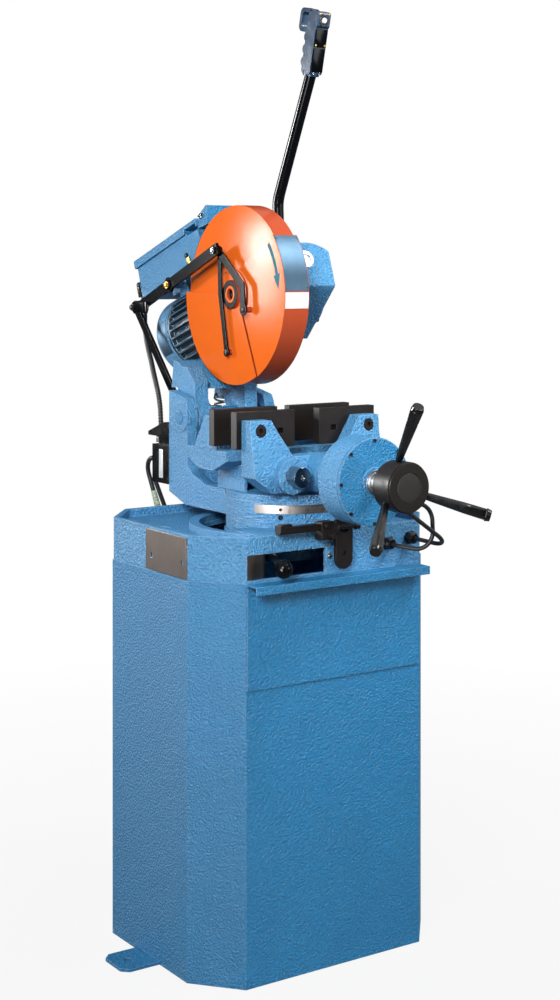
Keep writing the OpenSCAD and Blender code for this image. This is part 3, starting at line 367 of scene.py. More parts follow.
def bare_metal(name, tint, roughness, streak, stretch, edge):
    """Metal ground, turned or brushed bright: fine parallel scratches along the work, clear reflections
    drawn out across them, and bright edges."""
    made, tree, shader = blank(name, Metallic=1.0)
    place = add(tree, "TexCoord").outputs["Object"]
    drawn = add(tree, "Mapping", {"Vector": place, "Scale": stretch})
    scratch = add(
        tree, "TexNoise", {"Vector": drawn, "Scale": per_mm(streak), "Detail": 4, "Roughness": 0.7}
    )
    stain = add(tree, "TexNoise", {"Vector": place, "Scale": per_mm(30), "Detail": 3})
    base = add(tree, "Mix", {0: stain, 6: rgba(tint, 0.74), 7: rgba(tint, 1.12)}, data_type="RGBA")
    sheen = (scratch, roughness, roughness + 0.16)
    lay_surface(tree, shader, base, edge, 0.4, rgba(tint, 1.4), sheen, relief=(scratch, 0.1, 0.1))
    return made


def moulded_plastic(name, tint, grit, depth, roughness, edge):
    """Plastic or rubber out of a spark-eroded mould or die: an even fine grit, a soft sheen, and edges made
    paler, partly polished by hands and partly painted highlight."""
    made, tree, shader = blank(name, IOR=1.42)
    place = add(tree, "TexCoord").outputs["Object"]
    sand = add(
        tree,
        "TexVoronoi",
        {"Vector": place, "Scale": per_mm(grit), "Smoothness": 1.0},
        feature="SMOOTH_F1",
    )
    touch = add(tree, "TexNoise", {"Vector": place, "Scale": per_mm(26), "Detail": 4})
    base = add(tree, "Mix", {0: touch, 6: rgba(tint, 0.75), 7: rgba(tint, 1.3)}, data_type="RGBA")
    sheen = (touch, roughness, roughness + 0.1)
    lay_surface(tree, shader, base, edge, 0.4, rgba(tint, 2.4), sheen, relief=(sand, depth, 0.3))
    return made


def braided_sleeve(name, threads, gaps):
    """Woven tinned-copper and green sleeving over loose wires: crossing bundles a few millimetres wide."""
    made, tree, shader = blank(name, Roughness=0.5)
    place = add(tree, "TexCoord").outputs["Object"]
    weave = add(tree, "TexVoronoi", {"Vector": place, "Scale": per_mm(4)}, feature="F1")
    tint = add(tree, "Mix", {0: weave, 6: rgba(gaps), 7: rgba(threads)}, data_type="RGBA")
    relief = add(tree, "Bump", {"Strength": 0.6, "Distance": 0.8 * MM, "Height": weave})
    wire(tree, shader, {"Base Color": tint, "Normal": relief})
    return made


MATERIALS = {}

# How far scratches are drawn out along each axis: lengthwise is 1, across is many times finer
ALONG_X = (1, 12, 12)
ALONG_Y = (12, 1, 12)
ALONG_Z = (12, 12, 1)


def build_materials(context):
    """Makes every finish once, from the colours and sizes that the user has set."""
    hues = context.scene.cold_saw_colours
    sizes = context.scene.cold_saw_sizes
    edge = sizes.edge
    MATERIALS.update(
        blue_sheet=hammered_enamel(
            "blue_enamel_on_sheet_steel", hues.blue, peel=sizes.peel, depth=5.0, edge=edge, rub=0.4
        ),
        blue_casting=hammered_enamel(
            "blue_enamel_on_cast_iron", hues.cast, peel=sizes.cast_peel, depth=7.0, edge=edge * 1.4, rub=0.5
        ),
        # The motor's edges are made fully pale: painted highlight along its fins.
        motor_enamel=hammered_enamel(
            "dark_and_shaded_enamel_on_cast_aluminium", hues.motor, peel=sizes.peel, depth=1.0, edge=edge, rub=1.0
        ),
        orange_guard=guard_enamel("orange_enamel_on_pressed_steel", hues.orange, hues.band, edge=1.2),
        black_enamel=gloss_enamel(
            "black_enamel_on_bar_and_tube", hues.gloss_black, edge=1.2, roughness=0.13, speck=0.3
        ),
        arrow_ink=gloss_enamel("screen_printed_ink", hues.arrow, edge=0.2, roughness=0.6, speck=0.2),
        black_ink=gloss_enamel("black_etch_fill", linear("#17181a"), edge=0.2, roughness=0.5, speck=0.2),
        black_steel=blackened_steel("black_oxide_milled_steel", hues.oxide, edge=1.4),
        sleeve=braided_sleeve("braided_copper_sleeve", linear("#c9cdb4"), linear("#2f6f52")),
    )
    # Bare metals: name, tint, roughness, scratch width in mm, the way the scratches run, edge in mm
    metals = {
        "bright_steel": ("turned_steel", hues.steel, 0.22, 0.8, ALONG_X, 0.8),
        "ground_rod": ("ground_hard_chrome", linear("#9a9da0"), 0.08, 0.6, ALONG_Y, 1.0),
        "plate_steel": ("brushed_sheet_steel", linear("#7d746f"), 0.26, 1.0, ALONG_Z, 0.8),
        "slot_steel": ("dark_rolled_sheet_steel", linear("#6f6660"), 0.24, 1.4, (1, 12, 6), 0.8),
        "rim_steel": ("brushed_aluminium_plate", linear("#43596a"), 0.36, 1.0, (1, 14, 14), 0.4),
        "scale_steel": ("etched_scale_steel", linear("#7f7a77"), 0.42, 1.0, (14, 14, 1), 0.4),
        "brass": ("turned_brass", hues.brass, 0.24, 0.8, (1, 10, 10), 0.6),
    }
    MATERIALS.update({finish: bare_metal(*looks) for finish, looks in metals.items()})
    # Plastics: name, tint, grit in mm, depth of the grit in mm, roughness, edge in mm
    plastics = {
        "black_plastic": ("black_abs_moulded", hues.plastic, 1.6, 0.12, 0.14, 1.2),
        "grip_plastic": ("blue_black_abs_moulded", hues.grip, 2.4, 0.3, 0.2, 1.2),
        "white_plastic": ("white_acetal_moulded", hues.white, 1.6, 0.06, 0.3, 0.6),
        "black_hose": ("black_rubber_extruded", hues.rubber, 2.2, 0.15, 0.42, 0.5),
        "hub_face": ("black_phenolic_grained", hues.oxide, 3.2, 0.9, 0.55, 0.8),
    }
    MATERIALS.update({finish: moulded_plastic(*looks) for finish, looks in plastics.items()})


def finish_of(name):
    """A finish by name; asking for one that isn't made yet is an error."""
    if name not in MATERIALS:
        raise RuntimeError(f"finish {name} isn't made: run the finishes operator first")
    return MATERIALS[name]


NODE_FINISHES = {
    "blue_sheet": "cabinet floor_tabs drawer hinge_pin drum_cover control_box control_lid",
    "blue_casting": "tray chip_collar pedestal vise_bed vise_carriage vise_drum trunnion head_casting"
    " gear_cover fan_cover terminal_box",
    "motor_enamel": "motor_body",
    "orange_guard": "upper_guard front_guard rear_guard",
    "black_enamel": "handle_tube guard_arm link_rear link_front push_rod lock_knob",
    "black_steel": "rear_jaws front_jaws rear_screws front_screws stop_bar stop_block stop_plate wheel_hub"
    " drum_screws",
    "scale_steel": "scale_band",
    "bright_steel": "vise_screw lock_lever front_plug rotor blade spindle blade_flange"
    " spindle_bearings return_spring",
    "ground_rod": "guide_rods",
    "plate_steel": "blank_plate",
    "black_plastic": "wheel_arms trigger fan junction_box valve_hood hose_glands",
    "grip_plastic": "grip",
    "white_plastic": "thumb_button",
    "black_hose": "conduit vise_hoses rear_cables",
}


def aim(at, along):
    """The matrix of a frame at a point, with z along a direction."""
    return Matrix.Translation(Vector(at)) @ Vector(along).to_track_quat("Z", "Y").to_matrix().to_4x4()


def bridge(mesh, rings):
    """Skins rings of points, all of one count, into a closed body with flat ends."""
    made = [[mesh.verts.new(point) for point in ring] for ring in rings]
    for low, high in zip(made, made[1:]):
        for k in range(len(low)):
            m = (k + 1) % len(low)
            mesh.faces.new((low[k], low[m], high[m], high[k]))
    mesh.faces.new(made[0][::-1])
    mesh.faces.new(made[-1])


def turn(mesh, profile, place, sides=32):
    """Turns a profile about z of a place. A row is (radius, height) or (radius, height, corners)."""
    rings = []
    for radius, height, *corners in profile:
        ring = []
        for k in range(sides):
            angle = 2 * math.pi * k / sides
            reach = radius
            if corners:
                part = math.pi / corners[0]
                reach = radius * math.cos(part) / math.cos(angle % (2 * part) - part)
            ring.append(place @ Vector((reach * math.cos(angle), reach * math.sin(angle), height)))
        rings.append(ring)
    bridge(mesh, rings)


# Screw heads: the sides they are turned with, and profile rows as shares of the head's radius and height
SOCKET = (36, [(1, 0), (1, 0.85), (0.9, 1), (0.55, 1, 6), (0.52, 0.45, 6)])
HEXAGON = (36, [(1.35, 0), (1.35, 0.2), (1.05, 0.2, 6), (1.05, 0.9, 6), (0.85, 1)])
DOMED = (24, [(1, 0), (1, 0.35), (0.8, 0.8), (0.42, 1), (0.3, 0.45)])


def screw(mesh, head, at, along, radius, height):
    """A screw's head of one of the kinds above, its face towards along."""
    sides, rows = head
    profile = [(radius * reach, height * rise, *corners) for reach, rise, *corners in rows]
    turn(mesh, profile, aim(at, along), sides)


def slab(mesh, outline, thickness, place, bevel=0.6):
    """A flat plate: an outline in x and y of the place, thick along z, its edges broken."""
    part = bmesh.new()
    bridge(part, [[(x, y, z) for x, y in outline] for z in (0, thickness)])
    bmesh.ops.recalc_face_normals(part, faces=part.faces)
    if bevel:
        bmesh.ops.bevel(
            part,
            geom=list(part.edges),
            offset=bevel,
            segments=2,
            profile=0.6,
            affect="EDGES",
            clamp_overlap=True,
        )
    part.transform(place)
    kept = bpy.data.meshes.new("slab")
    part.to_mesh(kept)
    part.free()
    mesh.from_mesh(kept)
    bpy.data.meshes.remove(kept)


def rounded_box(w, h, r, steps=5):
    """The outline of a rectangle with round corners, about its middle."""
    points = []
    for cx, cy, start in ((1, 1, 0), (-1, 1, 90), (-1, -1, 180), (1, -1, 270)):
        for k in range(steps + 1):
            a = math.radians(start + 90 * k / steps)
            points.append((cx * (w / 2 - r) + r * math.cos(a), cy * (h / 2 - r) + r * math.sin(a)))
    return points


def left_face(x):
    """The frame of a face that looks to the left at an x: its x runs along Y and its y along Z."""
    return Matrix(((0, 0, -1, x), (1, 0, 0, 0), (0, 1, 0, 0), (0, 0, 0, 1)))


def from_spindle(angle):
    """The direction out of the spindle at an angle in degrees from the front upwards."""
    return Vector((0, -math.cos(math.radians(angle)), math.sin(math.radians(angle))))


def rim_band(mesh, thickness, start, stop, steps):
    """A thin plate bent round the guard's rim, between two angles from the front upwards."""
    outer = GUARD_R + thickness
    corners = ((-RIM_HALF, GUARD_R), (-RIM_HALF, outer), (RIM_HALF, outer), (RIM_HALF, GUARD_R))
    rows = []
    for k in range(steps + 1):
        out = from_spindle(start + (stop - start) * k / steps)
        rows.append([Vector((x, SPINDLE.y, SPINDLE.z)) + out * r for x, r in corners])
    bridge(mesh, rows)


def smooth_line(route, steps):
    """Points of the smooth curve through a route's points, with as many steps between two of them."""
    line = []
    last = len(route) - 1
    for i in range(last):
        p0, p1, p2, p3 = (Vector(route[k]) for k in (max(i - 1, 0), i, i + 1, min(i + 2, last)))
        for s in range(steps):
            t = s / steps
            line.append(
                0.5
                * (
                    2 * p1
                    + (p2 - p0) * t
                    + (2 * p0 - 5 * p1 + 4 * p2 - p3) * t**2
                    + (3 * p1 - p0 - 3 * p2 + p3) * t**3
                )
            )
    line.append(Vector(route[last]))
    return line


def rounded_line(corners, bend, steps=8):
    """Points of a line through corners, each inner corner rounded by an arc of that radius."""
    line = [Vector(corners[0])]
    for a, p, b in zip(corners, corners[1:], corners[2:]):
        before = (Vector(p) - Vector(a)).normalized()
        after = (Vector(b) - Vector(p)).normalized()
        angle = before.angle(after)
        across = (after - before * before.dot(after)).normalized()
        foot = Vector(p) - before * bend * math.tan(angle / 2)
        for k in range(steps + 1):
            t = angle * k / steps
            line.append(foot + bend * math.sin(t) * before + bend * (1 - math.cos(t)) * across)
    line.append(Vector(corners[-1]))
    return line


def even_line(line, count):
    """The same line with evenly spaced points."""
    reach = [0.0]
    for a, b in zip(line, line[1:]):
        reach.append(reach[-1] + (b - a).length)
    spaced = []
    k = 0
    for i in range(count + 1):
        want = reach[-1] * i / count
        while k < len(line) - 2 and reach[k + 1] < want:
            k += 1
        share = (want - reach[k]) / (reach[k + 1] - reach[k])
        spaced.append(line[k].lerp(line[k + 1], min(max(share, 0), 1)))
    return spaced


def tube(mesh, line, radii, sides=16):
    """A closed tube along a line, with a radius for each point and no twist."""
    turns = [2 * math.pi * k / sides for k in range(sides)]
    rings = []
    last = len(line) - 1
    side = None
    for i, point in enumerate(line):
        along = (line[min(i + 1, last)] - line[max(i - 1, 0)]).normalized()
        side = along.orthogonal() if side is None else side - along * side.dot(along)
        side = side.normalized()
        up = along.cross(side)
        rings.append([point + radii[i] * (math.cos(t) * side + math.sin(t) * up) for t in turns])
    bridge(mesh, rings)


def piece(name, mesh, finish, sharp=35):
    """Makes a named object of a mesh in millimetres, with its finish."""
    bmesh.ops.recalc_face_normals(mesh, faces=mesh.faces)
    bmesh.ops.scale(mesh, vec=(MM, MM, MM), verts=mesh.verts)
    data = bpy.data.meshes.new(name)
    mesh.to_mesh(data)
    mesh.free()
    data.shade_smooth()
    data.set_sharp_from_angle(angle=math.radians(sharp))
    data.materials.append(finish_of(finish))
    made = bpy.data.objects.new(name, data)
    bpy.context.scene.collection.objects.link(made)
    return made


def fasten(name, head, places, along, radius, height, finish):
    """Like screws as one piece: a head at each place, its face towards along."""
    mesh = bmesh.new()
    for at in places:
        screw(mesh, head, at, along, radius, height)
    return piece(name, mesh, finish)


def turned(name, profile, place, sides, finish):
    """One turned piece: a profile about z of a place."""
    mesh = bmesh.new()
    turn(mesh, profile, place, sides)
    return piece(name, mesh, finish)


# Cord routes, repeated from the part's source
def elbow_point(h):
    """A point on the conduit's elbow behind the electrical box, at a height in the head's frame."""
    return HEAD @ Vector((ELBOW.x, ELBOW.y, h))


CONDUIT_END = Vector((-93, 283, 1003))
CONDUIT_ROUTE = [
    elbow_point(ELBOW.z - 6), elbow_point(ELBOW.z - 32), (-18, 488, 1264), (-29, 468, 1242), (-40, 446, 1222),
    (-50, 422, 1201), (-59, 397, 1180), (-67, 372, 1159), (-75, 349, 1138), (-82, 326, 1116),
    (-87, 306, 1092), (-91, 291, 1065), CONDUIT_END + Vector((0, 1, 32)), CONDUIT_END,
]


def seat_point(k, r):
    """A point straight out of the vise drum's side, at a distance from the screw."""
    angle = math.radians((22, 35)[k])
    return Vector((r * math.cos(angle), (-332, -346)[k], SCREW_Z - r * math.sin(angle)))


HOSE_BEND = 35.5
HOSE_CORNERS = [
    [(128, -246, 816), (128, -270, 815), (166, -338, 808), seat_point(0, 180), seat_point(0, 91)],
    [(185, -246, 822), (185, -268, 822), seat_point(1, 255), seat_point(1, 91)],
]
CABLE_BEND = 42
CABLE_CORNERS = [
    [(-97, 293, 950), (-97, 352, 950), (8, 330, 574), (8, 250, 574)],
    [(-82, 293, 928), (-82, 352, 928), (50, 330, 576), (50, 250, 576)],
]
SPRING_LOW = Vector((40, 240, 908))
SPRING_TOP = Vector((40, 262, 1082))
SPRING_COILS = 14
SPRING_R = 15
SPRING_HOOK = 12


def plain_cord(name, corners, bend, radius, steps):
    """A smooth cord round the corners of its route; gives the piece, its path and its finer line."""
    path = rounded_line(corners, bend)
    line = even_line(rounded_line(corners, bend, 16), steps)
    mesh = bmesh.new()
    tube(mesh, line, [radius] * len(line), sides=20)
    return piece(name, mesh, "black_hose"), path, line


class COLDSAW_OT_camera(bpy.types.Operator):
    """Place the camera at the photograph's viewpoint"""

    bl_idname = "cold_saw.camera"
    bl_label = "Camera"

    def execute(self, context):
        lens = bpy.data.cameras.new("view")
        lens.sensor_width = VIEW_SENSOR
        lens.lens = VIEW_LENS
        lens.shift_y = VIEW_SHIFT
        lens.clip_end = 50
        camera = bpy.data.objects.new("view", lens)
        camera.location = VIEW_PLACE
        camera.rotation_euler = (math.radians(90), 0, math.radians(VIEW_TURN))
        context.scene.collection.objects.link(camera)
        context.scene.camera = camera
        return {"FINISHED"}


class COLDSAW_OT_finishes(bpy.types.Operator):
    """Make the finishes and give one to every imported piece"""

    bl_idname = "cold_saw.finishes"
    bl_label = "Finishes"

    def execute(self, context):
        build_materials(context)
        left = set(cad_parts)
        for finish, names in NODE_FINISHES.items():
            for name in names.split():
                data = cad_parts[name].data
                data.materials.clear()
                data.materials.append(finish_of(finish))
                left.discard(name)
        if left:
            raise RuntimeError(f"no finish is chosen for {sorted(left)}")
        return {"FINISHED"}


class COLDSAW_OT_conduit(bpy.types.Operator):
    """Make the ribbed conduit between the electrical box and the junction box"""

    bl_idname = "cold_saw.conduit"
    bl_label = "Conduit"

    def execute(self, context):
        sizes = context.scene.cold_saw_sizes
        per_rib = 8
        line = even_line(smooth_line(CONDUIT_ROUTE, 12), sizes.rib_count * per_rib)
        radii = [
            sizes.conduit_r - sizes.rib * (0.5 + 0.5 * math.cos(2 * math.pi * i / per_rib)) ** 0.7
            for i in range(len(line))
        ]
        mesh = bmesh.new()
        tube(mesh, line, radii, sides=20)
        conduit = piece("conduit_ribbed", mesh, "black_hose", sharp=60)
        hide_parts("conduit")
        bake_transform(conduit)
        return {"FINISHED"}


class COLDSAW_OT_vise_hoses(bpy.types.Operator):
    """Make the two hoses between the tray and the vise drum"""

    bl_idname = "cold_saw.vise_hoses"
    bl_label = "Vise Hoses"

    def execute(self, context):
        radius = context.scene.cold_saw_sizes.hose_r
        for k, name in enumerate(("vise_hose_inner", "vise_hose_outer")):
            corners = HOSE_CORNERS[k]
            hose, path, _ = plain_cord(name, corners, HOSE_BEND, radius, 90)
            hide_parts("vise_hoses")
            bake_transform(hose)
        return {"FINISHED"}


class COLDSAW_OT_rear_cables(bpy.types.Operator):
    """Make the two cables from the junction box into the stand's back, with a braided sleeve on one"""

    bl_idname = "cold_saw.rear_cables"
    bl_label = "Rear Cables"

    def execute(self, context):
        radius = context.scene.cold_saw_sizes.cable_r
        sleeve_bulge, sleeve_from, sleeve_to = 1.9, 24, 50
        for name, corners in zip(("rear_cable_long", "rear_cable_short"), CABLE_CORNERS):
            cable, path, line = plain_cord(name, corners, CABLE_BEND, radius, 100)
            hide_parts("rear_cables")
            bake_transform(cable)
            if name == "rear_cable_long":
                wrap = line[sleeve_from:sleeve_to]
                last = len(wrap) - 1
                swell = [radius + sleeve_bulge * math.sin(math.pi * i / last) ** 0.4 for i in range(last + 1)]
                mesh = bmesh.new()
                tube(mesh, wrap, swell, sides=20)
                sleeve = piece("cable_sleeve", mesh, "sleeve")
                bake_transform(sleeve)
        return {"FINISHED"}


class COLDSAW_OT_return_spring(bpy.types.Operator):
    """Make the wound return spring with its hooks"""

    bl_idname = "cold_saw.return_spring"
    bl_label = "Return Spring"

    def execute(self, context):
        wire_r = context.scene.cold_saw_sizes.wire_r
        span = SPRING_TOP - SPRING_LOW
        body = span.length - 2 * SPRING_HOOK
        low_hook = [(8, 0, -4), (0, 0, -4), (-7.8, 0, -3.4), (-9.6, 0, 2), (-4, 0, 8), (6, 0, 10.6)]
        top_hook = [(x, y, span.length - z) for x, y, z in reversed(low_hook)]
        per_coil = 24
        steps = SPRING_COILS * per_coil
        coil = []
        for i in range(steps + 1):
            angle = 2 * math.pi * i / per_coil
            rise = SPRING_HOOK + body * i / steps
            coil.append((SPRING_R * math.cos(angle), SPRING_R * math.sin(angle), rise))
        place = Matrix.Translation(SPRING_LOW) @ Matrix.Rotation(math.atan2(-span.y, span.z), 4, "X")
        hooks = [smooth_line(low_hook + [coil[0]], 4), smooth_line([coil[-1]] + top_hook, 4)]
        line = [place @ Vector(p) for p in [*hooks[0], *coil[1:-1], *hooks[1]]]
        mesh = bmesh.new()
        tube(mesh, line, [wire_r] * len(line), sides=10)
        spring = piece("return_spring_wound", mesh, "bright_steel", sharp=70)
        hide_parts("return_spring")
        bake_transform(spring)
        return {"FINISHED"}


# Strokes of plain numerals on a grid one wide and two high
NUMERALS = {
    "0": [(0, 0.3), (0, 1.7), (0.3, 2), (0.7, 2), (1, 1.7), (1, 0.3), (0.7, 0), (0.3, 0), (0, 0.3)],
    "1": [(0.2, 1.6), (0.6, 2), (0.6, 0)],
    "3": [
        (0, 1.8), (0.3, 2), (0.8, 2), (1, 1.6), (0.8, 1.1),
        (0.4, 1.05), (0.8, 1), (1, 0.5), (0.8, 0), (0, 0.15),
    ],
    "4": [(0.8, 0), (0.8, 2), (0, 0.6), (1, 0.6)],
    "5": [(0.95, 2), (0.1, 2), (0.05, 1.1), (0.7, 1.2), (1, 0.8), (0.95, 0.3), (0.6, 0), (0, 0.15)],
}


class COLDSAW_OT_scale_marks(bpy.types.Operator):
    """Engrave the angle scale: ticks, plain numbers, its two screws and the lock screw below it"""

    bl_idname = "cold_saw.scale_marks"
    bl_label = "Scale Marks"

    def execute(self, context):
        width = context.scene.cold_saw_sizes.tick
        tick_top = SCALE_TOP - 0.8
        mesh = bmesh.new()
        for step in range(SCALE_LAST + 1):
            rise = 4.5 if step % 15 == 0 else 3.4 if step % 5 == 0 else 2.2
            at = step * SCALE_DEGREE
            self.stroke(mesh, (at, tick_top), (at, tick_top - rise), width)
        unit, pitch, foot = 3.4, 1.5, SCALE_LOW + 2.6
        for number in (0, 15, 30, 45):
            text = str(number)
            left = number * SCALE_DEGREE - (len(text) * pitch - 0.5) * unit / 2
            for k, digit in enumerate(text):
                points = [(left + (k * pitch + x) * unit, foot + y * unit) for x, y in NUMERALS[digit]]
                for a, b in zip(points, points[1:]):
                    self.stroke(mesh, a, b, width)
        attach(piece("scale_marks", mesh, "black_ink"), "swivel")
        mesh = bmesh.new()
        for along in (-18, 62 * SCALE_DEGREE):
            at = self.on_band(along, (SCALE_LOW + SCALE_TOP) / 2)
            screw(mesh, DOMED, at, at - Vector((0, TURN_Y, at.z)), 3, 1.6)
        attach(piece("scale_screws", mesh, "black_steel"), "swivel")
        angle = math.radians(TURN_LOCK_ANGLE)
        out = Vector((math.cos(angle), math.sin(angle), 0))
        at = Vector((0, TURN_Y, TURN_LOCK_Z)) + out * (TURN_R - 0.4)
        lock = fasten("turntable_lock_screw", SOCKET, [at], out, 5, 2.4, "black_enamel")
        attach(lock, "swivel")
        return {"FINISHED"}

    def on_band(self, along, up):
        """The point at a way along the band from nought, at a height."""
        angle = math.radians(SCALE_ZERO + along / SCALE_FACE * 180 / math.pi)
        return Vector((SCALE_FACE * math.cos(angle), TURN_Y + SCALE_FACE * math.sin(angle), up))

    def stroke(self, mesh, a, b, width):
        """A raised ink stroke between two points on the band."""
        ink = 0.12
        across = Vector((-(b[1] - a[1]), b[0] - a[0])).normalized() * width / 2
        corners = [(p[0] + s * across.x, p[1] + s * across.y) for p, s in ((a, 1), (a, -1), (b, -1), (b, 1))]
        low = [self.on_band(*corner) for corner in corners]
        high = [p + Vector((p.x, p.y - TURN_Y, 0)).normalized() * ink for p in low]
        low_ring, high_ring = ([mesh.verts.new(p) for p in ring] for ring in (low, high))
        mesh.faces.new(high_ring)
        for k in range(4):
            m = (k + 1) % 4
            mesh.faces.new((low_ring[k], low_ring[m], high_ring[m], high_ring[k]))


class COLDSAW_OT_guard_fittings(bpy.types.Operator):
    """Fit the guard: pivot bolts, link rivets, hub ring and bush, direction arrow and bare rim plates"""

    bl_idname = "cold_saw.guard_fittings"
    bl_label = "Guard Fittings"

    def execute(self, context):
        left = (-1, 0, 0)
        washer = [(11.5, 0), (11.5, 1.4), (11, 1.9), (6, 1.9)]
        place = aim((ARM_FACE_X - 2, *ARM_PIVOT), left)
        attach(turned("arm_pivot_washer", washer, place, 40, "black_enamel"), "head")
        at = (ARM_FACE_X - 3.8, *ARM_PIVOT)
        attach(fasten("arm_pivot_bolt", HEXAGON, [at], left, 5.6, 5, "brass"), "head")
        at = (ARM_FACE_X - 4, *ARM_FRONT)
        bolt = fasten("arm_front_bolt", HEXAGON, [at], left, 5.4, 4, "ground_rod")
        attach(bolt, "guard_arm")
        for name, x, pin, guard in (
            ("front_link_rivet", -50.2, PIN_FRONT, "front_guard"),
            ("rear_link_rivet", -45.3, PIN_REAR, "rear_guard"),
        ):
            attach(fasten(name, DOMED, [(x, *pin)], left, 6.4, 1.6, "black_steel"), guard)

        hub = aim((HUB_X, SPINDLE.y, SPINDLE.z), left)
        ring = [(18.5, -6), (30, 0), (30, 0.5), (29.4, 1), (18.8, 1), (18.4, 0.6), (18.4, -6)]
        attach(turned("hub_ring", ring, hub, 64, "black_enamel"), "head")
        bush = [(18.2, -12), (18.2, 0.2), (17.2, 1.1), (13, 1.1), (12, 0.4), (11.6, -10), (0.5, -10.5)]
        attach(turned("hub_bush", bush, hub, 64, "orange_guard"), "head")
        core = [(11.4, -10.4), (11.4, -9.6), (7, -9.4, 6), (6.6, -10.2, 6)]
        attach(turned("hub_core", core, hub, 36, "black_steel"), "head")

        mesh = bmesh.new()
        slab(mesh, self.arrow(), 0.2, left_face(GUARD_FACE_X), bevel=0)
        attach(piece("direction_arrow", mesh, "arrow_ink"), "front_guard")

        mesh = bmesh.new()
        rim_band(mesh, 0.6, 2.6, 39.8, steps=32)
        for angle in (5, 37.4):
            for x in (-25, 25):
                out = from_spindle(angle)
                at = Vector((x, SPINDLE.y, SPINDLE.z)) + out * (GUARD_R + 0.5)
                screw(mesh, DOMED, at, out, 2.2, 1.2)
        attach(piece("rim_plate", mesh, "rim_steel"), "front_guard")
        mesh = bmesh.new()
        rim_band(mesh, 0.5, -8, 1.8, steps=12)
        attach(piece("rim_plate_bare", mesh, "white_plastic"), "front_guard")
        return {"FINISHED"}

    def arrow(self):
        """The outline of an arrow bent round the spindle, from radii and angles from the rear upwards."""
        mid, half, head_half = 167, 4.8, 13
        tail, neck, barb, tip = 141, 165.5, 164.9, 176
        steps = 12

        def polar(radius, angle):
            a = math.radians(angle)
            return (SPINDLE.y + radius * math.cos(a), SPINDLE.z + radius * math.sin(a))

        spread = [tail + (neck - tail) * k / steps for k in range(steps + 1)]
        outline = [polar(mid + half, a) for a in spread]
        outline += [polar(mid + head_half, barb), polar(mid, tip), polar(mid - head_half, barb)]
        return outline + [polar(mid - half, a) for a in reversed(spread)]


class COLDSAW_OT_head_fittings(bpy.types.Operator):
    """Fit the electrical box, the motor and the gear case: latch, catch, lid screws, bare plate and bolts"""

    bl_idname = "cold_saw.head_fittings"
    bl_label = "Head Fittings"

    def execute(self, context):
        # The box's left wall: its x runs up the head's own z and its y along the head
        wall = HEAD @ Matrix(((0, 0, -1, BOX_WALL_X), (0, 1, 0, 0), (1, 0, 0, 0), (0, 0, 0, 1)))
        outward = wall.to_3x3() @ Vector((0, 0, 1))
        mesh = bmesh.new()
        place = wall @ Matrix.Translation((*BOX_LATCH, 0))
        slab(mesh, rounded_box(28, 9, 3), 2.4, place, bevel=0.7)
        slab(mesh, rounded_box(11, 12, 3), 4.6, place @ Matrix.Translation((7, 0, 0)), bevel=0.8)
        screw(mesh, DOMED, place @ Vector((-9, 0, 2.4)), outward, 2.8, 1.6)
        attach(piece("box_latch", mesh, "brass"), "head")
        at = wall @ Vector((*BOX_BOLT, 0))
        bolt = fasten("box_wall_bolt", HEXAGON, [at], outward, 4.6, 4, "black_enamel")
        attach(bolt, "head")

        mesh = bmesh.new()
        place = wall @ Matrix.Translation((*LID_CATCH, 0))
        slab(mesh, rounded_box(12, 9, 3), 3, place, bevel=0.8)
        slab(mesh, rounded_box(4, 14, 1.6), 5, place @ Matrix.Translation((1, 0, 0)), bevel=0.8)
        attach(piece("lid_catch", mesh, "black_plastic"), "head")

        mesh = bmesh.new()
        elbow = HEAD @ Matrix.Translation((ELBOW.x, ELBOW.y, 0))
        top = ELBOW.z
        down = [(7, 91), (12, 91, 6), (12, 99, 6), (10.6, 100)]
        down += [(10.6, top + 8), (9.4, top + 11.4), (5, top + 12.8)]
        turn(mesh, down, elbow, sides=36)
        into_box = elbow @ Matrix.Translation((0, 0, top)) @ Matrix.Rotation(math.radians(-90), 4, "X")
        turn(mesh, [(13, -11.4, 6), (13, -5.4, 6), (10, -5), (10, 3)], into_box, sides=36)
        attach(piece("conduit_elbow", mesh, "black_plastic"), "head")

        up = HEAD.to_3x3() @ Vector((0, 0, 1))
        places = [HEAD @ Vector((x, y, LID_TOP)) for x in (-98, 60) for y in (150, 262, 396)]
        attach(fasten("lid_screws", DOMED, places, up, 4.5, 2.4, "bright_steel"), "head")

        mesh = bmesh.new()
        right = (1, 0, 0)
        for k in range(6):
            a = math.radians(60 * k)
            across = GEAR_SCREW_RING * Vector((0, math.cos(a), math.sin(a)))
            screw(mesh, SOCKET, Vector((GEAR_COVER_X, SPINDLE.y, SPINDLE.z)) + across, right, 5.4, 5)
        nut = [(16, 0, 6), (16, 8, 6), (12, 10), (6, 10, 6), (5.6, 5, 6)]
        turn(mesh, nut, aim((GEAR_COVER_X + 2, SPINDLE.y, SPINDLE.z), right), sides=36)
        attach(piece("gear_cover_screws", mesh, "black_steel"), "head")

        motor = HEAD @ Matrix.Translation((0, 0, MOTOR_DROP))
        front, rear, outer = 343, 378, MOTOR_R + 0.6
        corners = ((front, MOTOR_R), (front, outer), (rear, outer), (rear, MOTOR_R))
        start, stop, steps = 160, 208, 18
        rows = []
        for k in range(steps + 1):
            a = math.radians(start + (stop - start) * k / steps)
            rows.append([motor @ Vector((r * math.cos(a), y, r * math.sin(a))) for y, r in corners])
        mesh = bmesh.new()
        bridge(mesh, rows)
        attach(piece("motor_plate", mesh, "rim_steel"), "head")
        return {"FINISHED"}


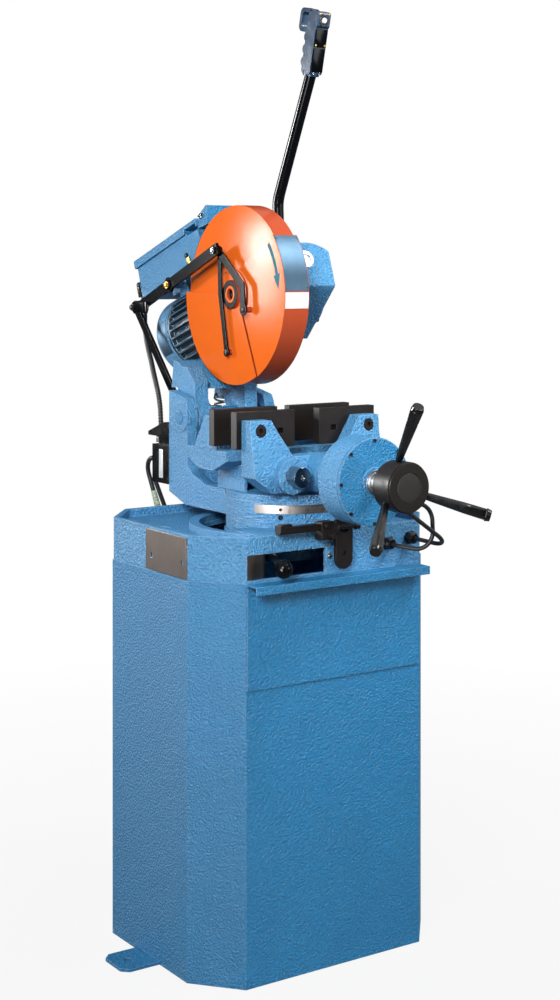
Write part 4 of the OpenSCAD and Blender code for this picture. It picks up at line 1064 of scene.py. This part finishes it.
class COLDSAW_OT_linkage_clips(bpy.types.Operator):
    """Fit the clip at the push rod's top, the conduit's strap and nut, and the junction box's bare strip"""

    bl_idname = "cold_saw.linkage_clips"
    bl_label = "Linkage Clips"

    def execute(self, context):
        mesh = bmesh.new()
        place = left_face(ROD_CLIP_X) @ Matrix.Translation((*ROD_CLIP, 0))
        slab(mesh, rounded_box(75, 24, 10), 3, place, bevel=0.8)
        slab(mesh, rounded_box(16, 26, 3), 6, place @ Matrix.Translation((-26, 0, 0)), bevel=0.8)
        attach(piece("rod_end_clip", mesh, "black_enamel"), "guard_arm")
        at = (ROD_CLIP_X - 3, *ARM_REAR)
        bolt = fasten("rod_end_bolt", HEXAGON, [at], (-1, 0, 0), 6, 5, "black_steel")
        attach(bolt, "guard_arm")

        per_leg = 12
        middle = int(3.5 * per_leg)
        strap = smooth_line(CONDUIT_ROUTE, per_leg)[middle - 3 : middle + 4]
        mesh = bmesh.new()
        tube(mesh, strap, [6.4, 7.4, 7.6, 7.6, 7.6, 7.4, 6.4], sides=24)
        clip = piece("conduit_strap", mesh, "black_plastic")
        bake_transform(clip)

        nut = [(12, -16, 6), (12, -7, 6), (10, -6), (10, -3), (11, -2, 6), (11, 4, 6), (8, 6)]
        place = Matrix.Translation(CONDUIT_END)
        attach(turned("conduit_nut", nut, place, 36, "ground_rod"), "swivel")

        mesh = bmesh.new()
        place = left_face(JUNCTION_FACE_X) @ Matrix.Translation((*JUNCTION_STRIP, 0))
        slab(mesh, rounded_box(16, 62, 2), 0.8, place, bevel=0.3)
        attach(piece("junction_strip", mesh, "white_plastic"), "swivel")
        return {"FINISHED"}


class COLDSAW_OT_handwheel_insert(bpy.types.Operator):
    """Set the grained insert into the handwheel's hub"""

    bl_idname = "cold_saw.handwheel_insert"
    bl_label = "Handwheel Insert"

    def execute(self, context):
        insert = [(27.6, 0), (27.6, 2.4), (26.8, 3.2), (20, 3.9), (10, 4.4), (1, 4.5)]
        place = aim((0, HUB_FRONT_Y + 3, SCREW_Z), (0, -1, 0))
        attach(turned("hub_insert", insert, place, 64, "hub_face"), "handwheel")
        return {"FINISHED"}


class COLDSAW_OT_tray_fittings(bpy.types.Operator):
    """Fit the tray: the bent sheet inside the lever's slot and the bolts beside and on the stop"""

    bl_idname = "cold_saw.tray_fittings"
    bl_label = "Tray Fittings"

    def execute(self, context):
        low, high, thick = 773.6, 820.4, 1.2
        start, reach_x, back, reach_y = -204.4, 54, -213.6, 22
        steps = 20
        rows = []
        for k in range(steps + 1):
            t = math.pi / 2 * k / steps
            x, y = start + reach_x * math.sin(t), back - reach_y * math.cos(t)
            rows.append([(x, y, low), (x, y, high), (x, y + thick, high), (x, y + thick, low)])
        mesh = bmesh.new()
        bridge(mesh, rows)
        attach(piece("slot_sheet", mesh, "slot_steel"), "base")
        forward = (0, -1, 0)
        bolt = fasten("tray_bolt", HEXAGON, [TRAY_BOLT], forward, 4, 3.6, "ground_rod")
        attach(bolt, "base")
        bolt = fasten("stop_plate_bolt", SOCKET, [STOP_BOLT], forward, 6.4, 5, "black_enamel")
        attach(bolt, "base")
        return {"FINISHED"}


class COLDSAW_OT_grip_cover(bpy.types.Operator):
    """Fit the grip's cover plates, their screws, the button's collar and the clamp screws"""

    bl_idname = "cold_saw.grip_cover"
    bl_label = "Grip Cover"

    def execute(self, context):
        # The grip's front face: its x runs to the right and its y up the grip
        front = GRIP @ Matrix(((1, 0, 0, 0), (0, 0, -1, GRIP_FACE_Y), (0, 1, 0, 0), (0, 0, 0, 1)))
        outward = front.to_3x3() @ Vector((0, 0, 1))
        mesh = bmesh.new()
        for tall, middle in ((50, 35), (38, 81)):
            slab(mesh, rounded_box(29, tall, 4), 2.2, front @ Matrix.Translation((0, middle, 0)), bevel=0.8)
        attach(piece("grip_cover", mesh, "black_enamel"), "head")
        mesh = bmesh.new()
        for x in (-11, 11):
            screw(mesh, DOMED, front @ Vector((x, 66, 2.2)), outward, 2.4, 1.4)
            screw(mesh, DOMED, front @ Vector((x, 131, 3)), outward, 2.2, 1.2)
        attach(piece("grip_screws", mesh, "brass"), "head")
        places = [front @ Vector((x, 7, 0)) for x in (-7, 8)]
        clamps = fasten("grip_clamp_screws", SOCKET, places, outward, 2.8, 2.2, "ground_rod")
        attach(clamps, "head")
        collar = [(6.5, -1), (11, -1), (11, 0.8), (10.2, 1.6), (7.4, 1.6), (6.5, 0.6), (6.5, -1)]
        place = front @ Matrix.Translation((0, 118, 3)) @ Matrix.Diagonal((1, 1.25, 1, 1))
        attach(turned("button_collar", collar, place, 48, "black_plastic"), "head")
        return {"FINISHED"}


# Stage, in metres. Lamps: name, place, width, watts, target, and whether it lights paint as well as gloss
LAMPS = (
    ("left_rear", (-2.0, 2.2, 1.75), 0.3, 8, (0, 0.1, 1.3), True),
    ("left_gloss", (-2.2, 2.3, 1.5), 0.8, 24, (0, 0, 1.1), False),
    ("right_front", (1.5, -2.6, 1.5), 1.0, 5, (0, 0, 1.25), True),
    ("right_high", (1.1, -1.3, 3.0), 0.8, 12, (0, 0, 1.2), True),
    ("front", (-2.4, -2.2, 2.4), 1.0, 30, (0, 0, 1.3), True),
    ("left_low", (-2.3, -1.4, 0.7), 1.0, 26, (0, 0, 0.9), False),
)
LAMP_SPREAD = 80
# Black flags that only gloss sees, so that dark paint has something dark to mirror: name, place and width
FLAGS = (
    ("flag_left_rear", (-2.9, 3.0), 4.6),
    ("flag_right_rear", (2.3, 3.6), 5.0),
    ("flag_right_front", (2.6, -3.6), 4.8),
    ("flag_left_front", (-2.8, -4.2), 4.6),
)
FLAG_MIDDLE = 2.0
FLAG_TALL = 4.6
FLOOR_WIDE = 80
FLOOR_DROP = 0.0006


class COLDSAW_OT_stage(bpy.types.Operator):
    """Set the pale floor, the white surround and the soft lamps"""

    bl_idname = "cold_saw.stage"
    bl_label = "Stage"

    def execute(self, context):
        scene = context.scene
        scene.view_settings.view_transform = "Standard"
        scene.world = self.surround()
        floor = self.card("floor", (0, 0, -FLOOR_DROP), (FLOOR_WIDE, FLOOR_WIDE), (0, 0, 1), self.paper())
        cloth, _, shader = blank("black_flag_cloth", Roughness=1.0)
        shader.inputs["Base Color"].default_value = (0.012, 0.012, 0.014, 1)
        for name, at, wide in FLAGS:
            flag = self.card(name, (*at, FLAG_MIDDLE), (wide, FLAG_TALL), (0, 0, FLAG_MIDDLE), cloth)
            for ray in ("camera", "diffuse", "transmission", "volume_scatter", "shadow"):
                setattr(flag, f"visible_{ray}", False)
        for name, at, size, power, target, lights_paint in LAMPS:
            light = bpy.data.lights.new(name, "AREA")
            light.energy = power
            light.size = size
            light.spread = math.radians(LAMP_SPREAD)
            lamp = bpy.data.objects.new(name, light)
            lamp.location = at
            lamp.visible_diffuse = lights_paint
            lamp.rotation_euler = (Vector(target) - Vector(at)).to_track_quat("-Z", "Y").to_euler()
            scene.collection.objects.link(lamp)
        return {"FINISHED"}

    def surround(self):
        """A white surround for the eye and for reflections, which lights paint only softly."""
        world = bpy.data.worlds.new("studio")
        world.use_nodes = True
        tree = world.node_tree
        rays = add(tree, "LightPath").outputs
        seen = add(
            tree,
            "Math",
            {0: rays["Is Camera Ray"], 1: rays["Is Transmission Ray"]},
            operation="MAXIMUM",
        )
        shown = add(tree, "Math", {0: seen, 1: rays["Is Glossy Ray"]}, operation="MAXIMUM")
        level = add(tree, "MapRange", {"Value": shown, "To Min": 0.2, "To Max": 1.0})
        wire(tree, tree.nodes["Background"], {"Color": (1, 1, 1, 1), "Strength": level})
        return world

    def paper(self):
        """White paper that keeps the shadow near the saw and runs out into plain white further off."""
        made, tree, shader = blank("white_paper_floor", Roughness=0.9)
        shader.inputs["Base Color"].default_value = (0.3, 0.3, 0.3, 1)
        glow = add(tree, "Emission", {"Strength": 1.0})
        rays = add(tree, "LightPath").outputs
        mirrored = add(
            tree,
            "Math",
            {0: rays["Is Glossy Ray"], 1: rays["Is Transmission Ray"]},
            operation="MAXIMUM",
        )
        part = add(tree, "Math", {0: mirrored, 1: 0.08}, operation="MULTIPLY")
        spot = add(tree, "NewGeometry").outputs["Position"]
        away = add(tree, "VectorMath", {0: spot}, operation="LENGTH")
        white = add(
            tree,
            "MapRange",
            {"Value": away, "From Min": 0.5, "From Max": 2.5, "To Min": 0.9, "To Max": 1.0},
        )
        share = add(tree, "Math", {0: rays["Is Camera Ray"], 1: white, 2: part}, operation="MULTIPLY_ADD")
        mix = add(tree, "MixShader", {0: share, 1: shader, 2: glow})
        wire(tree, tree.nodes["Material Output"], {"Surface": mix})
        return made

    def card(self, name, at, size, target, finish):
        """A flat stage card of a width and height in metres, facing a target."""
        mesh = bmesh.new()
        bmesh.ops.create_grid(mesh, x_segments=1, y_segments=1, size=0.5)
        bmesh.ops.scale(mesh, vec=(*size, 1), verts=mesh.verts)
        data = bpy.data.meshes.new(name)
        mesh.to_mesh(data)
        mesh.free()
        data.materials.append(finish)
        made = bpy.data.objects.new(name, data)
        made.location = at
        made.rotation_euler = (Vector(target) - Vector(at)).to_track_quat("Z", "Y").to_euler()
        bpy.context.scene.collection.objects.link(made)
        return made


class COLDSAW_PT_panel(bpy.types.Panel):
    """Lists the saw's operators, colours and sizes"""

    bl_idname = "COLDSAW_PT_panel"
    bl_label = "Cold Saw"
    bl_space_type = "VIEW_3D"
    bl_region_type = "UI"
    bl_category = "Cold Saw"

    def draw(self, context):
        for operator in OPERATORS:
            self.layout.operator(operator.bl_idname)
        for group in (context.scene.cold_saw_colours, context.scene.cold_saw_sizes):
            box = self.layout.box()
            for name in group.bl_rna.properties.keys():
                if name not in ("rna_type", "name"):
                    box.prop(group, name)


OPERATORS = (
    COLDSAW_OT_camera,
    COLDSAW_OT_finishes,
    COLDSAW_OT_conduit,
    COLDSAW_OT_vise_hoses,
    COLDSAW_OT_rear_cables,
    COLDSAW_OT_return_spring,
    COLDSAW_OT_scale_marks,
    COLDSAW_OT_guard_fittings,
    COLDSAW_OT_head_fittings,
    COLDSAW_OT_linkage_clips,
    COLDSAW_OT_handwheel_insert,
    COLDSAW_OT_tray_fittings,
    COLDSAW_OT_grip_cover,
    COLDSAW_OT_stage,
)
CLASSES = (ColdSawColours, ColdSawSizes, *OPERATORS, COLDSAW_PT_panel)


def register():
    for cls in CLASSES:
        bpy.utils.register_class(cls)
    bpy.types.Scene.cold_saw_colours = PointerProperty(type=ColdSawColours)
    bpy.types.Scene.cold_saw_sizes = PointerProperty(type=ColdSawSizes)


def unregister():
    del bpy.types.Scene.cold_saw_sizes
    del bpy.types.Scene.cold_saw_colours
    for cls in reversed(CLASSES):
        bpy.utils.unregister_class(cls)


def main():
    """Registers the add-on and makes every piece."""
    register()
    bpy.ops.cold_saw.camera()
    bpy.ops.cold_saw.finishes()
    bpy.ops.cold_saw.conduit()
    bpy.ops.cold_saw.vise_hoses()
    bpy.ops.cold_saw.rear_cables()
    bpy.ops.cold_saw.return_spring()
    bpy.ops.cold_saw.scale_marks()
    bpy.ops.cold_saw.guard_fittings()
    bpy.ops.cold_saw.head_fittings()
    bpy.ops.cold_saw.linkage_clips()
    bpy.ops.cold_saw.handwheel_insert()
    bpy.ops.cold_saw.tray_fittings()
    bpy.ops.cold_saw.grip_cover()
    bpy.ops.cold_saw.stage()


if __name__ == "__main__":
    main()
